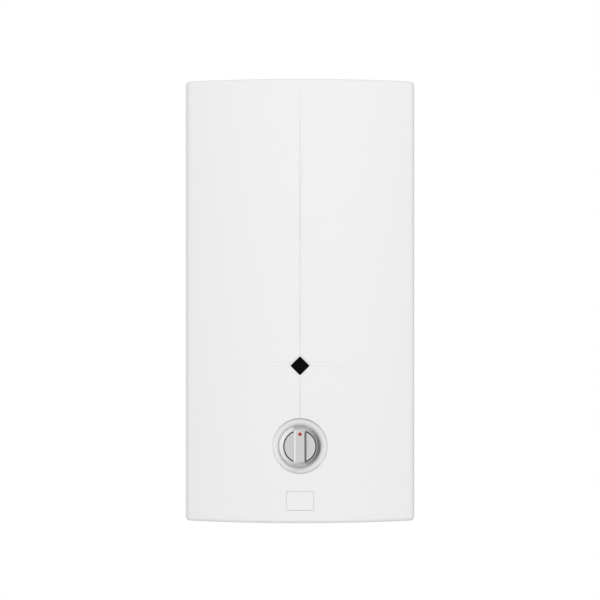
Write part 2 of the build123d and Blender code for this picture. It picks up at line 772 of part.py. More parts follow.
def vessel():
    """The copper vessel: domed foot, flange ring, inlet and outlet collars, studs and earth tab."""
    x, depth = vessel_x, vessel_depth
    low, top = vessel_bottom_z, vessel_top_z
    shell = post(x, depth, vessel_radius, low, top)
    shell = fillet(shell.edges().group_by(Axis.Z)[0], vessel_dome)
    room = post(x, depth, vessel_radius - vessel_wall, low + vessel_wall, top + 1)
    room = fillet(room.edges().group_by(Axis.Z)[0], vessel_dome - vessel_wall)
    shell += post(x, depth, flange_radius, top - flange_thickness, top)
    shell += post(x, depth, collar_radius, low - collar_reach, low + vessel_wall)
    left = x - vessel_radius
    shell += rod_across(depth, outlet_z, collar_radius, left - collar_reach, left + 4)
    for side in (-1, 1):
        shell += peg(x + side * cutout_stud_x, cutout_z, element_stud_radius,
                     vessel_depth + vessel_radius - 12, cutout_back + cutout_ear_thickness + 5)
    edge = x + flange_radius
    shell += block((edge - 2, edge + 9), (depth - 4, depth + 4), (top - 4, top - 3))
    shell -= room
    socket = pipe_radius + pipe_clearance
    shell -= post(x, depth, socket, low - collar_reach - 1, low - collar_reach + collar_socket)
    shell -= post(x, depth, pipe_bore, low - collar_reach, low + 5)
    shell -= rod_across(depth, outlet_z, socket, left - collar_reach - 1, left - collar_reach + collar_socket)
    shell -= rod_across(depth, outlet_z, pipe_bore, left - collar_reach, left + 9)
    for bolt_x, bolt_y in flange_bolt_places():
        shell -= column(Pos(bolt_x, bolt_y) * Circle(flange_bolt_radius + thread_clearance),
                        top - flange_thickness - 1, top + 1)
    return shell


def around_vessel(radius, angles):
    """Places in plan on a circle about the vessel's axis."""
    return [(vessel_x + radius * math.cos(math.radians(a)),
             -vessel_depth + radius * math.sin(math.radians(a))) for a in angles]


def flange_bolt_places():
    return around_vessel(flange_bolt_circle, range(30, 390, 60))


def element_places():
    return around_vessel(element_circle, range(30, 390, 60))


def flange_disc(low, high, hole):
    """A disc of the vessel's flange with its bolt holes; hole is the radius round each element."""
    disc = post(vessel_x, vessel_depth, flange_radius, low, high)
    for x, y in flange_bolt_places():
        disc -= column(Pos(x, y) * Circle(flange_bolt_radius + thread_clearance), low - 1, high + 1)
    for x, y in element_places():
        disc -= column(Pos(x, y) * Circle(hole), low - 1, high + 1)
    return disc


def element_flange():
    """The brass disc that closes the vessel and carries the elements."""
    return flange_disc(flange_low_z, flange_top_z, element_radius + thread_clearance)


def flange_gasket_ring():
    """The flat gasket between the two flanges."""
    disc = flange_disc(vessel_top_z, flange_low_z, element_radius + 1)
    return disc - post(vessel_x, vessel_depth, vessel_radius - vessel_wall, 0, case_height)


def heating_elements():
    """Three hairpin tubes, each with a threaded stud on both of its ends."""
    places = element_places()
    foot = vessel_bottom_z + element_foot
    bend = element_circle * math.sin(math.radians(30)) - 0.05
    hairpins = []
    for first in (0, 2, 4):
        (x1, y1), (x2, y2) = places[first], places[first + 1]
        route = [(x1, -y1, neck_top_z), (x1, -y1, foot), (x2, -y2, foot), (x2, -y2, neck_top_z)]
        hairpin = bent(route, bend, Circle(element_radius))
        for x, y in (places[first], places[first + 1]):
            hairpin += column(Pos(x, y) * Circle(element_stud_radius), neck_top_z - 1,
                              neck_top_z + element_stud)
        hairpins.append(hairpin)
    return group(hairpins)


def hex_nut(x, y, flats, bore, low, high):
    """A hexagon nut on an upright stud."""
    return column(Pos(x, y) * (hexagon(flats) - Circle(bore + thread_clearance)), low, high)


def flange_bolts():
    """Six hexagon bolts through the two flanges."""
    bolts = []
    for x, y in flange_bolt_places():
        head = column(Pos(x, y) * hexagon(flange_nut_flats), flange_top_z, flange_top_z + flange_nut_height)
        foot = vessel_top_z - flange_thickness - flange_nut_height - 2
        bolts.append(head + column(Pos(x, y) * Circle(flange_bolt_radius), foot, flange_top_z))
    return group(bolts)


def flange_nuts():
    """The nuts of the flange bolts."""
    high = vessel_top_z - flange_thickness
    return group(hex_nut(x, y, flange_nut_flats, flange_bolt_radius, high - flange_nut_height, high)
                 for x, y in flange_bolt_places())


def star_bridge():
    """The three-armed brass plate that joins one end of every element."""
    low, high = neck_top_z, neck_top_z + bridge_thickness
    plate = post(vessel_x, vessel_depth, bridge_width / 2 + 1, low, high)
    for i, (x, y) in enumerate(element_places()):
        if i % 2 == 0:
            continue
        angle = 30 + 60 * i
        arm = Pos(vessel_x, -vessel_depth) * Rot(0, 0, angle) * Pos(element_circle / 2, 0)
        plate += column(arm * Rectangle(element_circle, bridge_width - 2), low, high)
        plate += column(Pos(x, y) * Circle(bridge_width / 2), low, high)
        plate -= column(Pos(x, y) * Circle(element_stud_radius + thread_clearance), low - 1, high + 1)
    return plate


def stud_nuts():
    """The nuts on the element studs and on the two studs of the cut-out."""
    nuts = []
    for i, (x, y) in enumerate(element_places()):
        low = neck_top_z + (bridge_thickness if i % 2 else wire_room)
        nuts.append(hex_nut(x, y, stud_nut_flats, element_stud_radius, low, low + stud_nut_height))
    seat = cutout_back + cutout_ear_thickness
    for side in (-1, 1):
        outline = Rot(0, 0, 30) * hexagon(stud_nut_flats) - Circle(element_stud_radius + thread_clearance)
        nuts.append(slab(Pos(vessel_x + side * cutout_stud_x, cutout_z) * outline,
                         seat, seat + stud_nut_height))
    return group(nuts)


def vessel_straps():
    """Two steel straps that hold the vessel in its saddles."""
    middle = vessel_radius + strap_clearance + strap_thickness / 2
    near, far = boss_face + strap_thickness / 2, vessel_depth + middle
    left, right = vessel_x - middle, vessel_x + middle
    straps = []
    for z in strap_heights:
        route = [(left - strap_foot, near, z), (left, near, z), (left, far, z),
                 (right, far, z), (right, near, z), (right + strap_foot, near, z)]
        round_top = middle - 0.05
        straps.append(sheet(route, [3.0, round_top, round_top, 3.0], strap_width, strap_thickness,
                            (0, 0, 1)))
    return group([drilled(strap, "vessel_straps") for strap in straps])


def nipple(x):
    """A G 1/2 nipple: outer thread, hexagon and the shorter inner thread."""
    bevel = 0.8
    low = connection_z
    shoulder = low + thread_length
    top = nipple_shoulder_z + nipple_top
    body = turned_up(x, connection_depth, [
        (nipple_bore, low), (thread_radius - bevel, low), (thread_radius, low + bevel),
        (thread_radius, shoulder + 1), (nipple_top_radius, shoulder + 1), (nipple_top_radius, top),
        (nipple_bore, top)])
    collar = Pos(x, -connection_depth) * (hexagon(nipple_flats) - Circle(nipple_bore + 1))
    return body + column(collar, shoulder, nipple_shoulder_z)


def cold_nipple():
    return nipple(cold_x)


def hot_nipple():
    return nipple(hot_x)


def inlet_washer():
    """The flat washer between the cold nipple's hexagon and the valve."""
    low, high = nipple_shoulder_z, nipple_shoulder_z + washer_thickness
    ring = post(cold_x, connection_depth, nipple_flats / 2 - 0.5, low, high)
    return ring - post(cold_x, connection_depth, nipple_top_radius + 0.1, low - 1, high + 1)


def inlet_strainer():
    """The fine cup strainer pushed into the cold nipple from below."""
    low = connection_z + 3.0
    outer = nipple_bore - 0.1
    return turned_up(cold_x, connection_depth, [
        (outer - 1.2, low), (outer, low), (outer, low + 2), (outer - 2.2, low + 14), (0, low + 14),
        (0, low + 13.2), (outer - 2.9, low + 13.2), (outer - 1.2, low + 1.5)])


def nipple_bracket():
    """The bent steel plate that holds the hot nipple."""
    web_z = nipple_shoulder_z + nipple_sheet / 2
    near = boss_face + nipple_sheet / 2
    route = [(hot_x, near, nipple_screw_z + 7), (hot_x, near, web_z), (hot_x, connection_depth + 17, web_z)]
    plate = sheet(route, 3.0, nipple_bracket_width, nipple_sheet, (1, 0, 0))
    plate -= post(hot_x, connection_depth, nipple_top_radius + thread_clearance, web_z - 5, web_z + 5)
    return drilled(plate, "nipple_bracket")


def union_nuts():
    """The two union nuts: on the hot nipple and on the valve's port."""
    top = nipple_shoulder_z + nipple_top + union_play + union_lip
    low = top - union_length
    thread = nipple_top_radius + thread_clearance
    hot = column(Pos(hot_x, -connection_depth) * hexagon(union_flats), low, top)
    hot -= post(hot_x, connection_depth, thread, low - 1, top - union_lip)
    hot -= post(hot_x, connection_depth, pipe_radius + pipe_clearance, low, top + 1)
    left = port_end_x - union_play - union_lip
    outline = Plane.YZ.offset(left) * Pos(-connection_depth, port_z) * hexagon(union_flats)
    cold = extrude(outline, union_length)
    thread = port_radius + thread_clearance
    cold -= rod_across(connection_depth, port_z, thread, left + union_lip, left + union_length + 1)
    cold -= rod_across(connection_depth, port_z, pipe_radius + pipe_clearance, left - 1, left + union_length)
    return group([hot, cold])


def copper_pipe(points, bends):
    """A hollow copper pipe along its route."""
    return bent(points, bends, Circle(pipe_radius) - Circle(pipe_bore))


def hot_pipe():
    """From the vessel's outlet down the left side to the hot nipple."""
    cross_z = nipple_shoulder_z + hot_pipe_rise
    end_x = vessel_x - vessel_radius - collar_reach + collar_socket - pipe_seat
    elbow = pipe_column_gap - 3.5
    return copper_pipe([(hot_x, connection_depth, hot_pipe_foot_z), (hot_x, connection_depth, cross_z),
                        (hot_pipe_x, connection_depth, cross_z), (hot_pipe_x, vessel_depth, outlet_z),
                        (end_x, vessel_depth, outlet_z)], [pipe_bend, pipe_bend, elbow])


def cold_pipe():
    """From the valve's port across and up into the vessel's foot."""
    end_z = vessel_bottom_z - collar_reach + collar_socket - pipe_seat
    return copper_pipe([(port_end_x - pipe_seat, connection_depth, port_z),
                        (vessel_x, connection_depth, port_z),
                        (vessel_x, vessel_depth, vessel_bottom_z - 30), (vessel_x, vessel_depth, end_z)],
                       [pipe_bend, 100.0])


def valve_screw_places():
    middle = (valve_flange_radius + membrane_radius + 0.5) / 2
    angles = [math.radians(a) for a in range(30, 390, 60)]
    return [(cold_x + middle * math.cos(a), -connection_depth + middle * math.sin(a)) for a in angles]


def valve_lower_body():
    """The valve's bowl with its inlet boss, its port and the boss on its strip."""
    base, top = valve_base_z, membrane_top_z
    boss = nipple_shoulder_z + washer_thickness
    socket = nipple_shoulder_z + nipple_top + 0.5
    room = membrane_radius - 2.5
    seat = membrane_radius + 0.5
    floor = base + 4
    throat = pipe_bore
    body = turned_up(cold_x, connection_depth, [
        (nipple_top_radius + thread_clearance, boss), (14, boss), (14, base), (bowl_radius - 2, base),
        (bowl_radius, base + 2), (bowl_radius, membrane_z - valve_flange), (valve_flange_radius,
        membrane_z - valve_flange), (valve_flange_radius, top), (seat, top), (seat, membrane_z),
        (room, membrane_z), (room, floor), (throat, floor), (throat, socket),
        (nipple_top_radius + thread_clearance, socket)])
    body += rod_across(connection_depth, port_z, port_radius, port_end_x, cold_x - bowl_radius + 3)
    body -= rod_across(connection_depth, port_z, throat, port_end_x - 1, cold_x - room + 2)
    half = strip_width / 2
    body += block((cold_x - half, cold_x + half), (boss_face + strip_thickness, connection_depth - room - 1),
                  (base + 2, membrane_z - valve_flange - 2))
    for x, y in valve_screw_places():
        body -= column(Pos(x, y) * Circle(valve_screw[2] + thread_clearance),
                       valve_flange_top_z - valve_screw[3] - seat_gap, top + 1)
    return body


def valve_upper_body():
    """The valve's domed upper half with the gland round the pusher's pin."""
    low, flange = membrane_top_z, valve_flange_top_z
    dome = flange + dome_height
    gland = dome + gland_height
    bore = pusher_pin_radius + pipe_clearance
    room = dome_radius - valve_wall
    body = turned_up(cold_x, connection_depth, [
        (room, low), (valve_flange_radius, low), (valve_flange_radius, flange), (dome_radius, flange),
        (dome_radius, dome - 4), (dome_radius - 4, dome), (gland_radius, dome), (gland_radius, gland),
        (bore, gland), (bore, dome - valve_wall), (room, dome - valve_wall)])
    for x, y in valve_screw_places():
        body -= column(Pos(x, y) * Circle(valve_screw[2] + thread_clearance), low - 1, flange + 1)
    return body


def valve_screws():
    """Six upright screws that clamp the diaphragm between the two bodies."""
    head, height, shank, length = valve_screw
    seat = valve_flange_top_z
    return group(column(Pos(x, y) * Circle(head), seat, seat + height)
                 + column(Pos(x, y) * Circle(shank), seat - length, seat) for x, y in valve_screw_places())


def diaphragm():
    """The rubber diaphragm with its rolling bead outside the pusher's disc."""
    low, top = membrane_z, membrane_top_z
    roll = (pusher_radius + dome_radius - valve_wall) / 2
    return turned_up(cold_x, connection_depth, [
        (0, low), (roll - 0.8, low), (roll - 0.4, low + 1), (roll + 0.4, low + 1), (roll + 0.8, low),
        (membrane_radius, low), (membrane_radius, top), (roll + 1.6, top), (roll + 0.8, top + 1),
        (roll - 0.8, top + 1), (roll - 1.6, top), (0, top)])


def pusher():
    """The disc on the diaphragm with the pin that leaves through the gland."""
    low = membrane_top_z + seat_gap
    disc = post(cold_x, connection_depth, pusher_radius, low, low + pusher_thickness)
    pin = post(cold_x, connection_depth, pusher_pin_radius, low + pusher_thickness - 1, pusher_top_z)
    pin = fillet(pin.edges().group_by(Axis.Z)[-1], pusher_pin_radius * 0.6)
    return disc + pin


def coil(x, depth, radius, low, high, turns, thickness):
    """A coil spring standing between two heights, drawn with four flats."""
    height = high - low - 2 * thickness
    path = Helix(height / turns, height, radius)
    section = Plane(path @ 0, z_dir=path % 0) * Rectangle(thickness, thickness)
    return Pos(x, -depth, low + thickness) * sweep(section, path, is_frenet=True)


def valve_spring():
    """The spring that returns the pusher."""
    low = membrane_top_z + seat_gap + pusher_thickness
    high = valve_flange_top_z + dome_height - valve_wall
    return coil(cold_x, connection_depth, 6.0, low, high, 3, 1.0)


def valve_strip():
    """The steel strip that carries the valve on two bosses."""
    half = strip_width / 2
    strip = block((cold_x - half, cold_x + half), (boss_face, boss_face + strip_thickness), strip_ends)
    return drilled(strip, "valve_strip")


clamp_places = (
    [(x, z, switch_screw_seat) for x in switch_ways for z in switch_rows]
    + [(x, z, terminal_seat) for x in terminal_ways for z in terminal_rows]
)


def clamp_screws():
    """The clamp screws of the switch and of the terminal block."""
    return group(screw(x, z, seat, clamp_screw) for x, z, seat in clamp_places)


def with_clamp_holes(piece, rows):
    """A piece with the holes of the clamp screws that stand in its rows."""
    for x, z, seat in clamp_places:
        if z in rows:
            piece -= screw_hole(x, z, seat, clamp_screw)
    return piece


def switch_body():
    """The three-pole switch: a moulded block with fins between its poles and the plunger's well."""
    body = block((switch_left, switch_right), (switch_back, switch_front), (switch_bottom_z, switch_top_z))
    for i in range(4):
        x = switch_left + i * pole_width
        body += block((x, x + switch_fin), (switch_front - 1, switch_front + switch_fin_reach),
                      (switch_bottom_z, switch_top_z))
    for x in switch_ear_x:
        body += block((x - 6, x + 6), (switch_back, switch_back + switch_ear_thickness),
                      (switch_ear_z[0] - 6, switch_ear_z[1] + 6))
    middle = (switch_rows[0] + switch_rows[1]) / 2
    for x in switch_ways:
        chamber = Pos(x, middle) * RectangleRounded(pole_width - 7, 18, 2)
        body += slab(chamber, switch_front - 1, switch_front + 5)
    body -= post(plunger_x, connection_depth, plunger_radius + plunger_clearance,
                 switch_bottom_z - 1, plunger_room_low + 1)
    body -= post(plunger_x, connection_depth, plunger_room_radius, plunger_room_low, plunger_room_high)
    return drilled(with_clamp_holes(body, switch_rows), "switch_body")


def switch_clamps():
    """The brass plates under the switch's clamp screws."""
    plates = [block((x - 6, x + 6), (switch_front, switch_front + clamp_plate), (z - 7, z + 7))
              for x in switch_ways for z in switch_rows]
    return group(with_clamp_holes(plate, switch_rows) for plate in plates)


def switch_plunger():
    """The plunger under the switch: round-ended stem with a collar inside the well."""
    top = plunger_room_low + seat_gap + 2.0
    stem = post(plunger_x, connection_depth, plunger_radius, lever_top_z + seat_gap, top)
    stem = fillet(stem.edges().group_by(Axis.Z)[0], plunger_radius * 0.6)
    return stem + post(plunger_x, connection_depth, plunger_collar, top - 2.0, top)


def plunger_spring():
    """The spring that pushes the plunger down."""
    low = plunger_room_low + seat_gap + 2.0
    return coil(plunger_x, connection_depth, 4.0, low, plunger_room_high, 4, 0.9)


def rocker_lever():
    """The sheet-steel lever: a flat web with two cheeks that turn on the pivot pin."""
    low = lever_top_z - lever_sheet
    lever = block((switch_left + 2, pivot_x + 8), (lever_near, lever_far), (low, lever_top_z))
    cheek = Polyline((pivot_x - 18, low + 0.5), (pivot_x + 8, low + 0.5), (pivot_x + 8, pivot_z - 4),
                     (pivot_x - 6, pivot_z - 4), close=True)
    lever += slab(make_face(cheek), lever_near, lever_near + lever_cheek)
    lever += slab(make_face(cheek), lever_far - lever_cheek, lever_far)
    lever -= peg(pivot_x, pivot_z, pivot_pin_radius + pivot_clearance, lever_near - 1, lever_far + 1)
    hole = adjuster_radius + thread_clearance
    return lever - post(cold_x, connection_depth, hole, low - 1, lever_top_z + 1)


def adjusting_screw():
    """The screw in the lever that sets when the switch closes."""
    tip = lever_top_z - lever_sheet - adjuster_drop
    stem = post(cold_x, connection_depth, adjuster_radius, tip, lever_top_z + 1)
    stem = chamfer(stem.edges().group_by(Axis.Z)[0], 0.6)
    head = Pos(cold_x, -connection_depth) * hexagon(adjuster_flats)
    return stem + column(head, lever_top_z, lever_top_z + 4.0)


def lever_bracket():
    """The steel bracket under the switch whose two cheeks hold the pivot pin."""
    near = lever_near - lever_side_gap - bracket_sheet
    far = lever_far + lever_side_gap
    top = switch_bottom_z
    bracket = block((pivot_x - 8, pivot_x + 8), (near, far + bracket_sheet), (top - bracket_sheet, top))
    cheek = Pos(pivot_x, (top - 0.5 + pivot_z) / 2) * Rectangle(12, top - 0.5 - pivot_z)
    cheek += Pos(pivot_x, pivot_z) * Circle(6)
    for start in (near, far):
        bracket += slab(cheek, start, start + bracket_sheet)
    return bracket - peg(pivot_x, pivot_z, pivot_pin_radius + thread_clearance, near - 1, far + 3)


def pivot_pin():
    """The pin that the lever turns on."""
    reach = lever_side_gap + bracket_sheet + 1.0
    return peg(pivot_x, pivot_z, pivot_pin_radius, lever_near - reach, lever_far + reach)


def terminal_block():
    """The five-way block: base, barriers between the ways and two fixing ears."""
    half = terminal_height / 2
    up = (terminal_z - half, terminal_z + half)
    body = block((terminal_left, terminal_right), (boss_face, terminal_face), up)
    for i in range(ways + 1):
        x = terminal_left + i * way_pitch
        start = min(max(x - barrier_thickness / 2, terminal_left), terminal_right - barrier_thickness)
        reach = (terminal_face - 1, terminal_face + barrier_height)
        body += block((start, start + barrier_thickness), reach, up)
    ears = (terminal_left - terminal_ear, terminal_right + terminal_ear)
    body += block(ears, (boss_face, boss_face + terminal_ear_thickness), (terminal_z - 6, terminal_z + 6))
    return drilled(with_clamp_holes(body, terminal_rows), "terminal_block")


def terminal_clamps():
    """The brass plates of the terminal block, one in each way."""
    plates = [block((x - 5.5, x + 5.5), (terminal_face, terminal_face + clamp_plate),
                    (terminal_z - 12, terminal_z + 12)) for x in terminal_ways]
    return group(with_clamp_holes(plate, terminal_rows) for plate in plates)


def cutout_housing():
    """The thermal cut-out's housing, saddled on the vessel, with two ears and the reset button's collar."""
    half, ear = cutout_width / 2, cutout_width / 2 + cutout_ear
    reset_seat = cutout_front + 1.5
    up = (cutout_z - cutout_height / 2, cutout_z + cutout_height / 2)
    body = block((vessel_x - half, vessel_x + half), (cutout_back - 8, cutout_front), up)
    body = chamfer(body.faces().sort_by(Axis.Y)[0].edges(), 1.2)
    body += block((vessel_x - ear, vessel_x + ear), (cutout_back, cutout_back + cutout_ear_thickness),
                  (cutout_z - 6, cutout_z + 6))
    body += peg(vessel_x, cutout_z, reset_radius + 2.5, cutout_front - 1, reset_seat)
    body -= post(vessel_x, vessel_depth, vessel_radius + seat_gap, up[0] - 1, up[1] + 1)
    body -= peg(vessel_x, cutout_z, reset_radius + plunger_clearance, cutout_front - 8, reset_seat + 1)
    for side in (-1, 1):
        body -= peg(vessel_x + side * cutout_stud_x, cutout_z, element_stud_radius + thread_clearance,
                    cutout_back - 1, cutout_front)
    return body


def cutout_tabs():
    """Six brass tabs, three above and three below the cut-out."""
    half = cutout_height / 2
    tabs = []
    for x in cutout_tab_x:
        for low in (cutout_z + half, cutout_low_z):
            tabs.append(block((x - 3.1, x + 3.1), (cutout_tab_depth - 0.4, cutout_tab_depth + 0.4),
                              (low, low + cutout_tab)))
    return group(tabs)


def reset_button():
    """The red reset button in its collar."""
    button = peg(vessel_x, cutout_z, reset_radius, cutout_front - 6, cutout_front + reset_proud)
    return fillet(button.edges().group_by(Axis.Y)[0], 0.8)


def lamp_bracket():
    """The moulded arm that holds the pilot lamp behind the diamond window."""
    half, foot = lamp_post / 2, lamp_foot / 2 + 5
    seat = boss_face + lamp_foot_thickness
    arm = block((-half - 1, half + 1), (boss_face, seat), (window_z - foot, window_z + foot))
    wide = Pos(0, window_z) * Rectangle(lamp_post + 2, lamp_post + 2)
    slim = Pos(0, window_z) * Rectangle(lamp_post, lamp_post)
    arm += loft([Plane.XZ.offset(seat) * wide, Plane.XZ.offset(lamp_back - 5) * slim])
    arm += peg(0, window_z, lamp_radius + 2.0, lamp_back - 6, lamp_back + 5)
    return drilled(arm - peg(0, window_z, lamp_radius + 0.1, lamp_back, lamp_back + 6), "lamp_bracket")


def pilot_lamp():
    """The neon lamp."""
    lamp = peg(0, window_z, lamp_radius, lamp_back, lamp_tip)
    return fillet(lamp.edges().group_by(Axis.Y)[0], lamp_radius * 0.8)


def supply_route(i):
    """A phase from the terminal block down to the switch."""
    start, end = terminal_ways[i], switch_ways[i]
    depth = terminal_wire_depth
    high, low = terminal_rows[0] - 22, switch_top_z + 9
    return [(start, depth, terminal_rows[0] - wire_stop), (start, depth, high),
            ((2 * start + end) / 3, depth + 16, low + 0.62 * (high - low)),
            ((start + 3 * end) / 4, switch_wire_depth - 2, low + 0.22 * (high - low)),
            (end, switch_wire_depth, low), (end, switch_wire_depth, switch_rows[1] + wire_stop)]


def load_route(i):
    """A phase from the switch under the lamp's arm and up to the cut-out."""
    start, end = switch_ways[i], cutout_tab_x[2 - i]
    depth, low = switch_wire_depth, switch_rows[0]
    return [(start, depth, low - wire_stop), (start, depth + 1, low - 12 - 4 * i),
            (start - 14, depth + 9 + 2 * i, low - 24 - 5 * i),
            (-12 - 9 * i, cutout_tab_depth - 7, low - 8 - 9 * i),
            (end - 1, cutout_tab_depth + 1, low + 40), (end, cutout_tab_depth, cutout_low_z - 14),
            (end, cutout_tab_depth, cutout_low_z)]


def element_route(i):
    """A phase from the cut-out over the flange to one element stud."""
    start = cutout_tab_x[i]
    stud_x, stud_y = element_places()[(2, 4, 0)[i]]
    end_z = neck_top_z + wire_room / 2
    out = cutout_tab_depth + 9.5
    top = cutout_z + cutout_height / 2 + cutout_tab
    lean = i - 1
    lead = [(start, cutout_tab_depth, top), (start, cutout_tab_depth, top + 12),
            (start + lean * 5, out - abs(lean) * 2.5, top + 40)]
    if lean == 0:
        return lead + [(start + 1, out, flange_low_z), (stud_x + 1, out - 12, end_z + 9),
                       (stud_x, -stud_y + 12, end_z), (stud_x, -stud_y + wire_stop, end_z)]
    reach = stud_x + lean * 17
    return lead + [(start + lean * 12, out - 6, flange_low_z), (reach + lean * 4, 74, end_z + 8),
                   (reach, -stud_y, end_z), (stud_x + lean * wire_stop, -stud_y, end_z)]


def phase_wires(i):
    """The three lengths of one phase: supply, load and element lead."""
    return group(wire(route(i)) for route in (supply_route, load_route, element_route))


def brown_wires():
    return phase_wires(0)


def black_wires():
    return phase_wires(1)


def grey_wires():
    return phase_wires(2)


def earth_wire():
    """From the last way of the terminal block to the vessel's earth tab."""
    x, z = terminal_ways[-1], terminal_rows[1] + wire_stop
    tab_x, tab_z = vessel_x + flange_radius + 9, vessel_top_z - 3.5
    near, far, reach = terminal_wire_depth, vessel_depth, x - tab_x
    return wire([(x, near, z), (x, near, z + 10), (x - 0.2 * reach, near + 7, z + 22),
                 (x - 0.58 * reach, (near + far) / 2 + 6, z + 24),
                 (tab_x + 10, far, tab_z), (tab_x, far, tab_z)])


def control_wires():
    """The thin wires of the selector and of the pilot lamp, both to the switch's left side."""
    end_x = switch_left
    tab_x, depth = selector_side / 2 + 5, selector_back + 7
    routes = []
    for i in (0, 1):
        z = knob_z - 10 + 20 * i
        end_z = switch_bottom_z + 7 + 4 * i
        routes.append([(tab_x, depth, z), (tab_x + 7, depth, z), (tab_x + 3 - 4 * i, depth + 10, knob_z + 44),
                       (10 - 3 * i, switch_front, knob_z + 66), (8, 44, end_z), (end_x, 44, end_z)])
    for i in (0, 1):
        z = window_z - 2 + 4 * i
        start = lamp_post / 2 + 0.3
        routes.append([(start, lamp_back - 10, z), (start + 7, lamp_back - 10, z),
                       (start + 5, 50, z + 18), (end_x, 50, z + 18)])
    return group(wire(route, thin_wire_radius) for route in routes)


pieces = [
    front_cover, diamond_window, badge_plate, cover_screws, knob, knob_dot, knob_keeper,
    selector_shaft, selector_body, selector_bracket, bushing_nut,
    back_plate, plate_screws, cable_grommet,
    vessel, element_flange, flange_gasket_ring, heating_elements, flange_bolts, flange_nuts,
    star_bridge, stud_nuts, vessel_straps,
    cold_nipple, hot_nipple, inlet_washer, inlet_strainer, nipple_bracket, union_nuts, hot_pipe, cold_pipe,
    valve_lower_body, valve_upper_body, valve_screws, diaphragm, pusher, valve_spring, valve_strip,
    switch_body, switch_clamps, clamp_screws, switch_plunger, plunger_spring,
    rocker_lever, adjusting_screw, lever_bracket, pivot_pin,
    terminal_block, terminal_clamps, cutout_housing, cutout_tabs, reset_button,
    lamp_bracket, pilot_lamp, brown_wires, black_wires, grey_wires, earth_wire, control_wires,
]

os.makedirs("parts", exist_ok=True)
for make in pieces:
    piece = make()
    export_step(piece, f"parts/{make.__name__}.step")
    print(f"{make.__name__}: {len(piece.solids())} solids, {piece.volume / 1000:.2f} cm3")
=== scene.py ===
# %% [markdown]
# # A wall-mounted instantaneous water heater
# The heater is a slim white case on a wall. Its front is one bowed moulding with two fine creases, a dark
# diamond window, a silver knob in a round dish and a small bare plate. Behind the cover are a copper vessel
# with its elements, a membrane valve that tilts a lever under a three-pole switch, and the wiring.
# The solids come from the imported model, all in metres and in one frame: the wall is the plane y = 0, the room
# lies towards -Y, and +Z is up.

# %% Load the solids
import json
import math

import bmesh
import bpy
from mathutils import Matrix, Vector

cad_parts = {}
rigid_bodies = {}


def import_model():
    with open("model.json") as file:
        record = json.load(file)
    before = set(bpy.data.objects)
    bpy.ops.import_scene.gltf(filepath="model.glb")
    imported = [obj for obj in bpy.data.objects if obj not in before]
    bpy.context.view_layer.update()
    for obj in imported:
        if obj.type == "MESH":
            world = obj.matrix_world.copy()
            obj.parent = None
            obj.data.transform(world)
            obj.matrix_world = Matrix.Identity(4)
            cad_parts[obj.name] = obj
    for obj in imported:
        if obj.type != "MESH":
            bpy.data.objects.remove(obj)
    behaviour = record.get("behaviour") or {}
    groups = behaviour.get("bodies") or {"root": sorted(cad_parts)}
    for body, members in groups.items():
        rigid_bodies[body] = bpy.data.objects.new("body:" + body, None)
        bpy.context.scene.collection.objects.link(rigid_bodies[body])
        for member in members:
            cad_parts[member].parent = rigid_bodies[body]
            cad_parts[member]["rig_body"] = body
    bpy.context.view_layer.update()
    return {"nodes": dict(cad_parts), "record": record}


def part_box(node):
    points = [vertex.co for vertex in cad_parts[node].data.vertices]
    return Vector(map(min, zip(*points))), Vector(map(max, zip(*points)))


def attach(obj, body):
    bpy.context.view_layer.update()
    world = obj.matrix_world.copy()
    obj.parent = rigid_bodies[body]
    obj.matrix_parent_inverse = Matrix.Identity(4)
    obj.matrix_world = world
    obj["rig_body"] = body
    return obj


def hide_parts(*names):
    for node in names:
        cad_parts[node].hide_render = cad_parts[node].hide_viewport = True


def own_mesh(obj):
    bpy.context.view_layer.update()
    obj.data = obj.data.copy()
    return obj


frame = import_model()
nodes = frame["nodes"]

# %% [markdown]
# A picture shows sRGB colours, and a shader wants linear light. One function turns a hex colour into the
# linear one, so every colour below can be read off a colour chart.

# %% Colours
MM = 0.001
RIGHT, BACK, UP = Vector((1, 0, 0)), Vector((0, 1, 0)), Vector((0, 0, 1))
FRONT, DOWN = -BACK, -UP


def linear(hex_colour):
    """The linear colour of an sRGB hex value, with full alpha."""
    channels = [int(hex_colour[i:i + 2], 16) / 255 for i in (0, 2, 4)]
    return [c / 12.92 if c <= 0.04045 else ((c + 0.055) / 1.055) ** 2.4 for c in channels] + [1.0]


print("the case's white in linear light:", [round(c, 3) for c in linear("F2F2F2")])

# %% [markdown]
# Every material here is a Principled shader with a pattern or two in front of it. One function adds a node,
# fills its settings and draws its links. What is the same all over a surface is set on the shader itself.

# %% Nodes and materials


def add(tree, kind, settings=(), links=()):
    """Adds one node; settings are (name, value) pairs and links are (input, output socket) pairs."""
    made = tree.nodes.new(kind)
    for name, value in settings:
        if isinstance(name, int) or name in made.inputs:
            made.inputs[name].default_value = value
        else:
            setattr(made, name, value)
    for name, socket in links:
        tree.links.new(socket, made.inputs[name])
    return made


def finish_of(name, colour, roughness, metallic=0.0, **sockets):
    """A material that starts from a real one's colour, roughness and other even values."""
    made = bpy.data.materials.new(name)
    made.use_nodes = True
    shader = made.node_tree.nodes["Principled BSDF"]
    shader.inputs["Base Color"].default_value = linear(colour)
    shader.inputs["Roughness"].default_value = roughness
    shader.inputs["Metallic"].default_value = metallic
    for socket, value in sockets.items():
        shader.inputs[socket.replace("_", " ")].default_value = value
    made.diffuse_color = linear(colour)
    return made


def speckle(made, size_mm, detail, stretch=(1, 1, 1)):
    """A soft pattern of the given size in millimetres, on the piece's own coordinates."""
    tree = made.node_tree
    place = add(tree, "ShaderNodeTexCoord")
    turn = add(tree, "ShaderNodeMapping", [("Scale", stretch)], [("Vector", place.outputs["Object"])])
    return add(tree, "ShaderNodeTexNoise", [("Scale", 1 / (size_mm * MM)), ("Detail", detail)],
               [("Vector", turn.outputs["Vector"])])


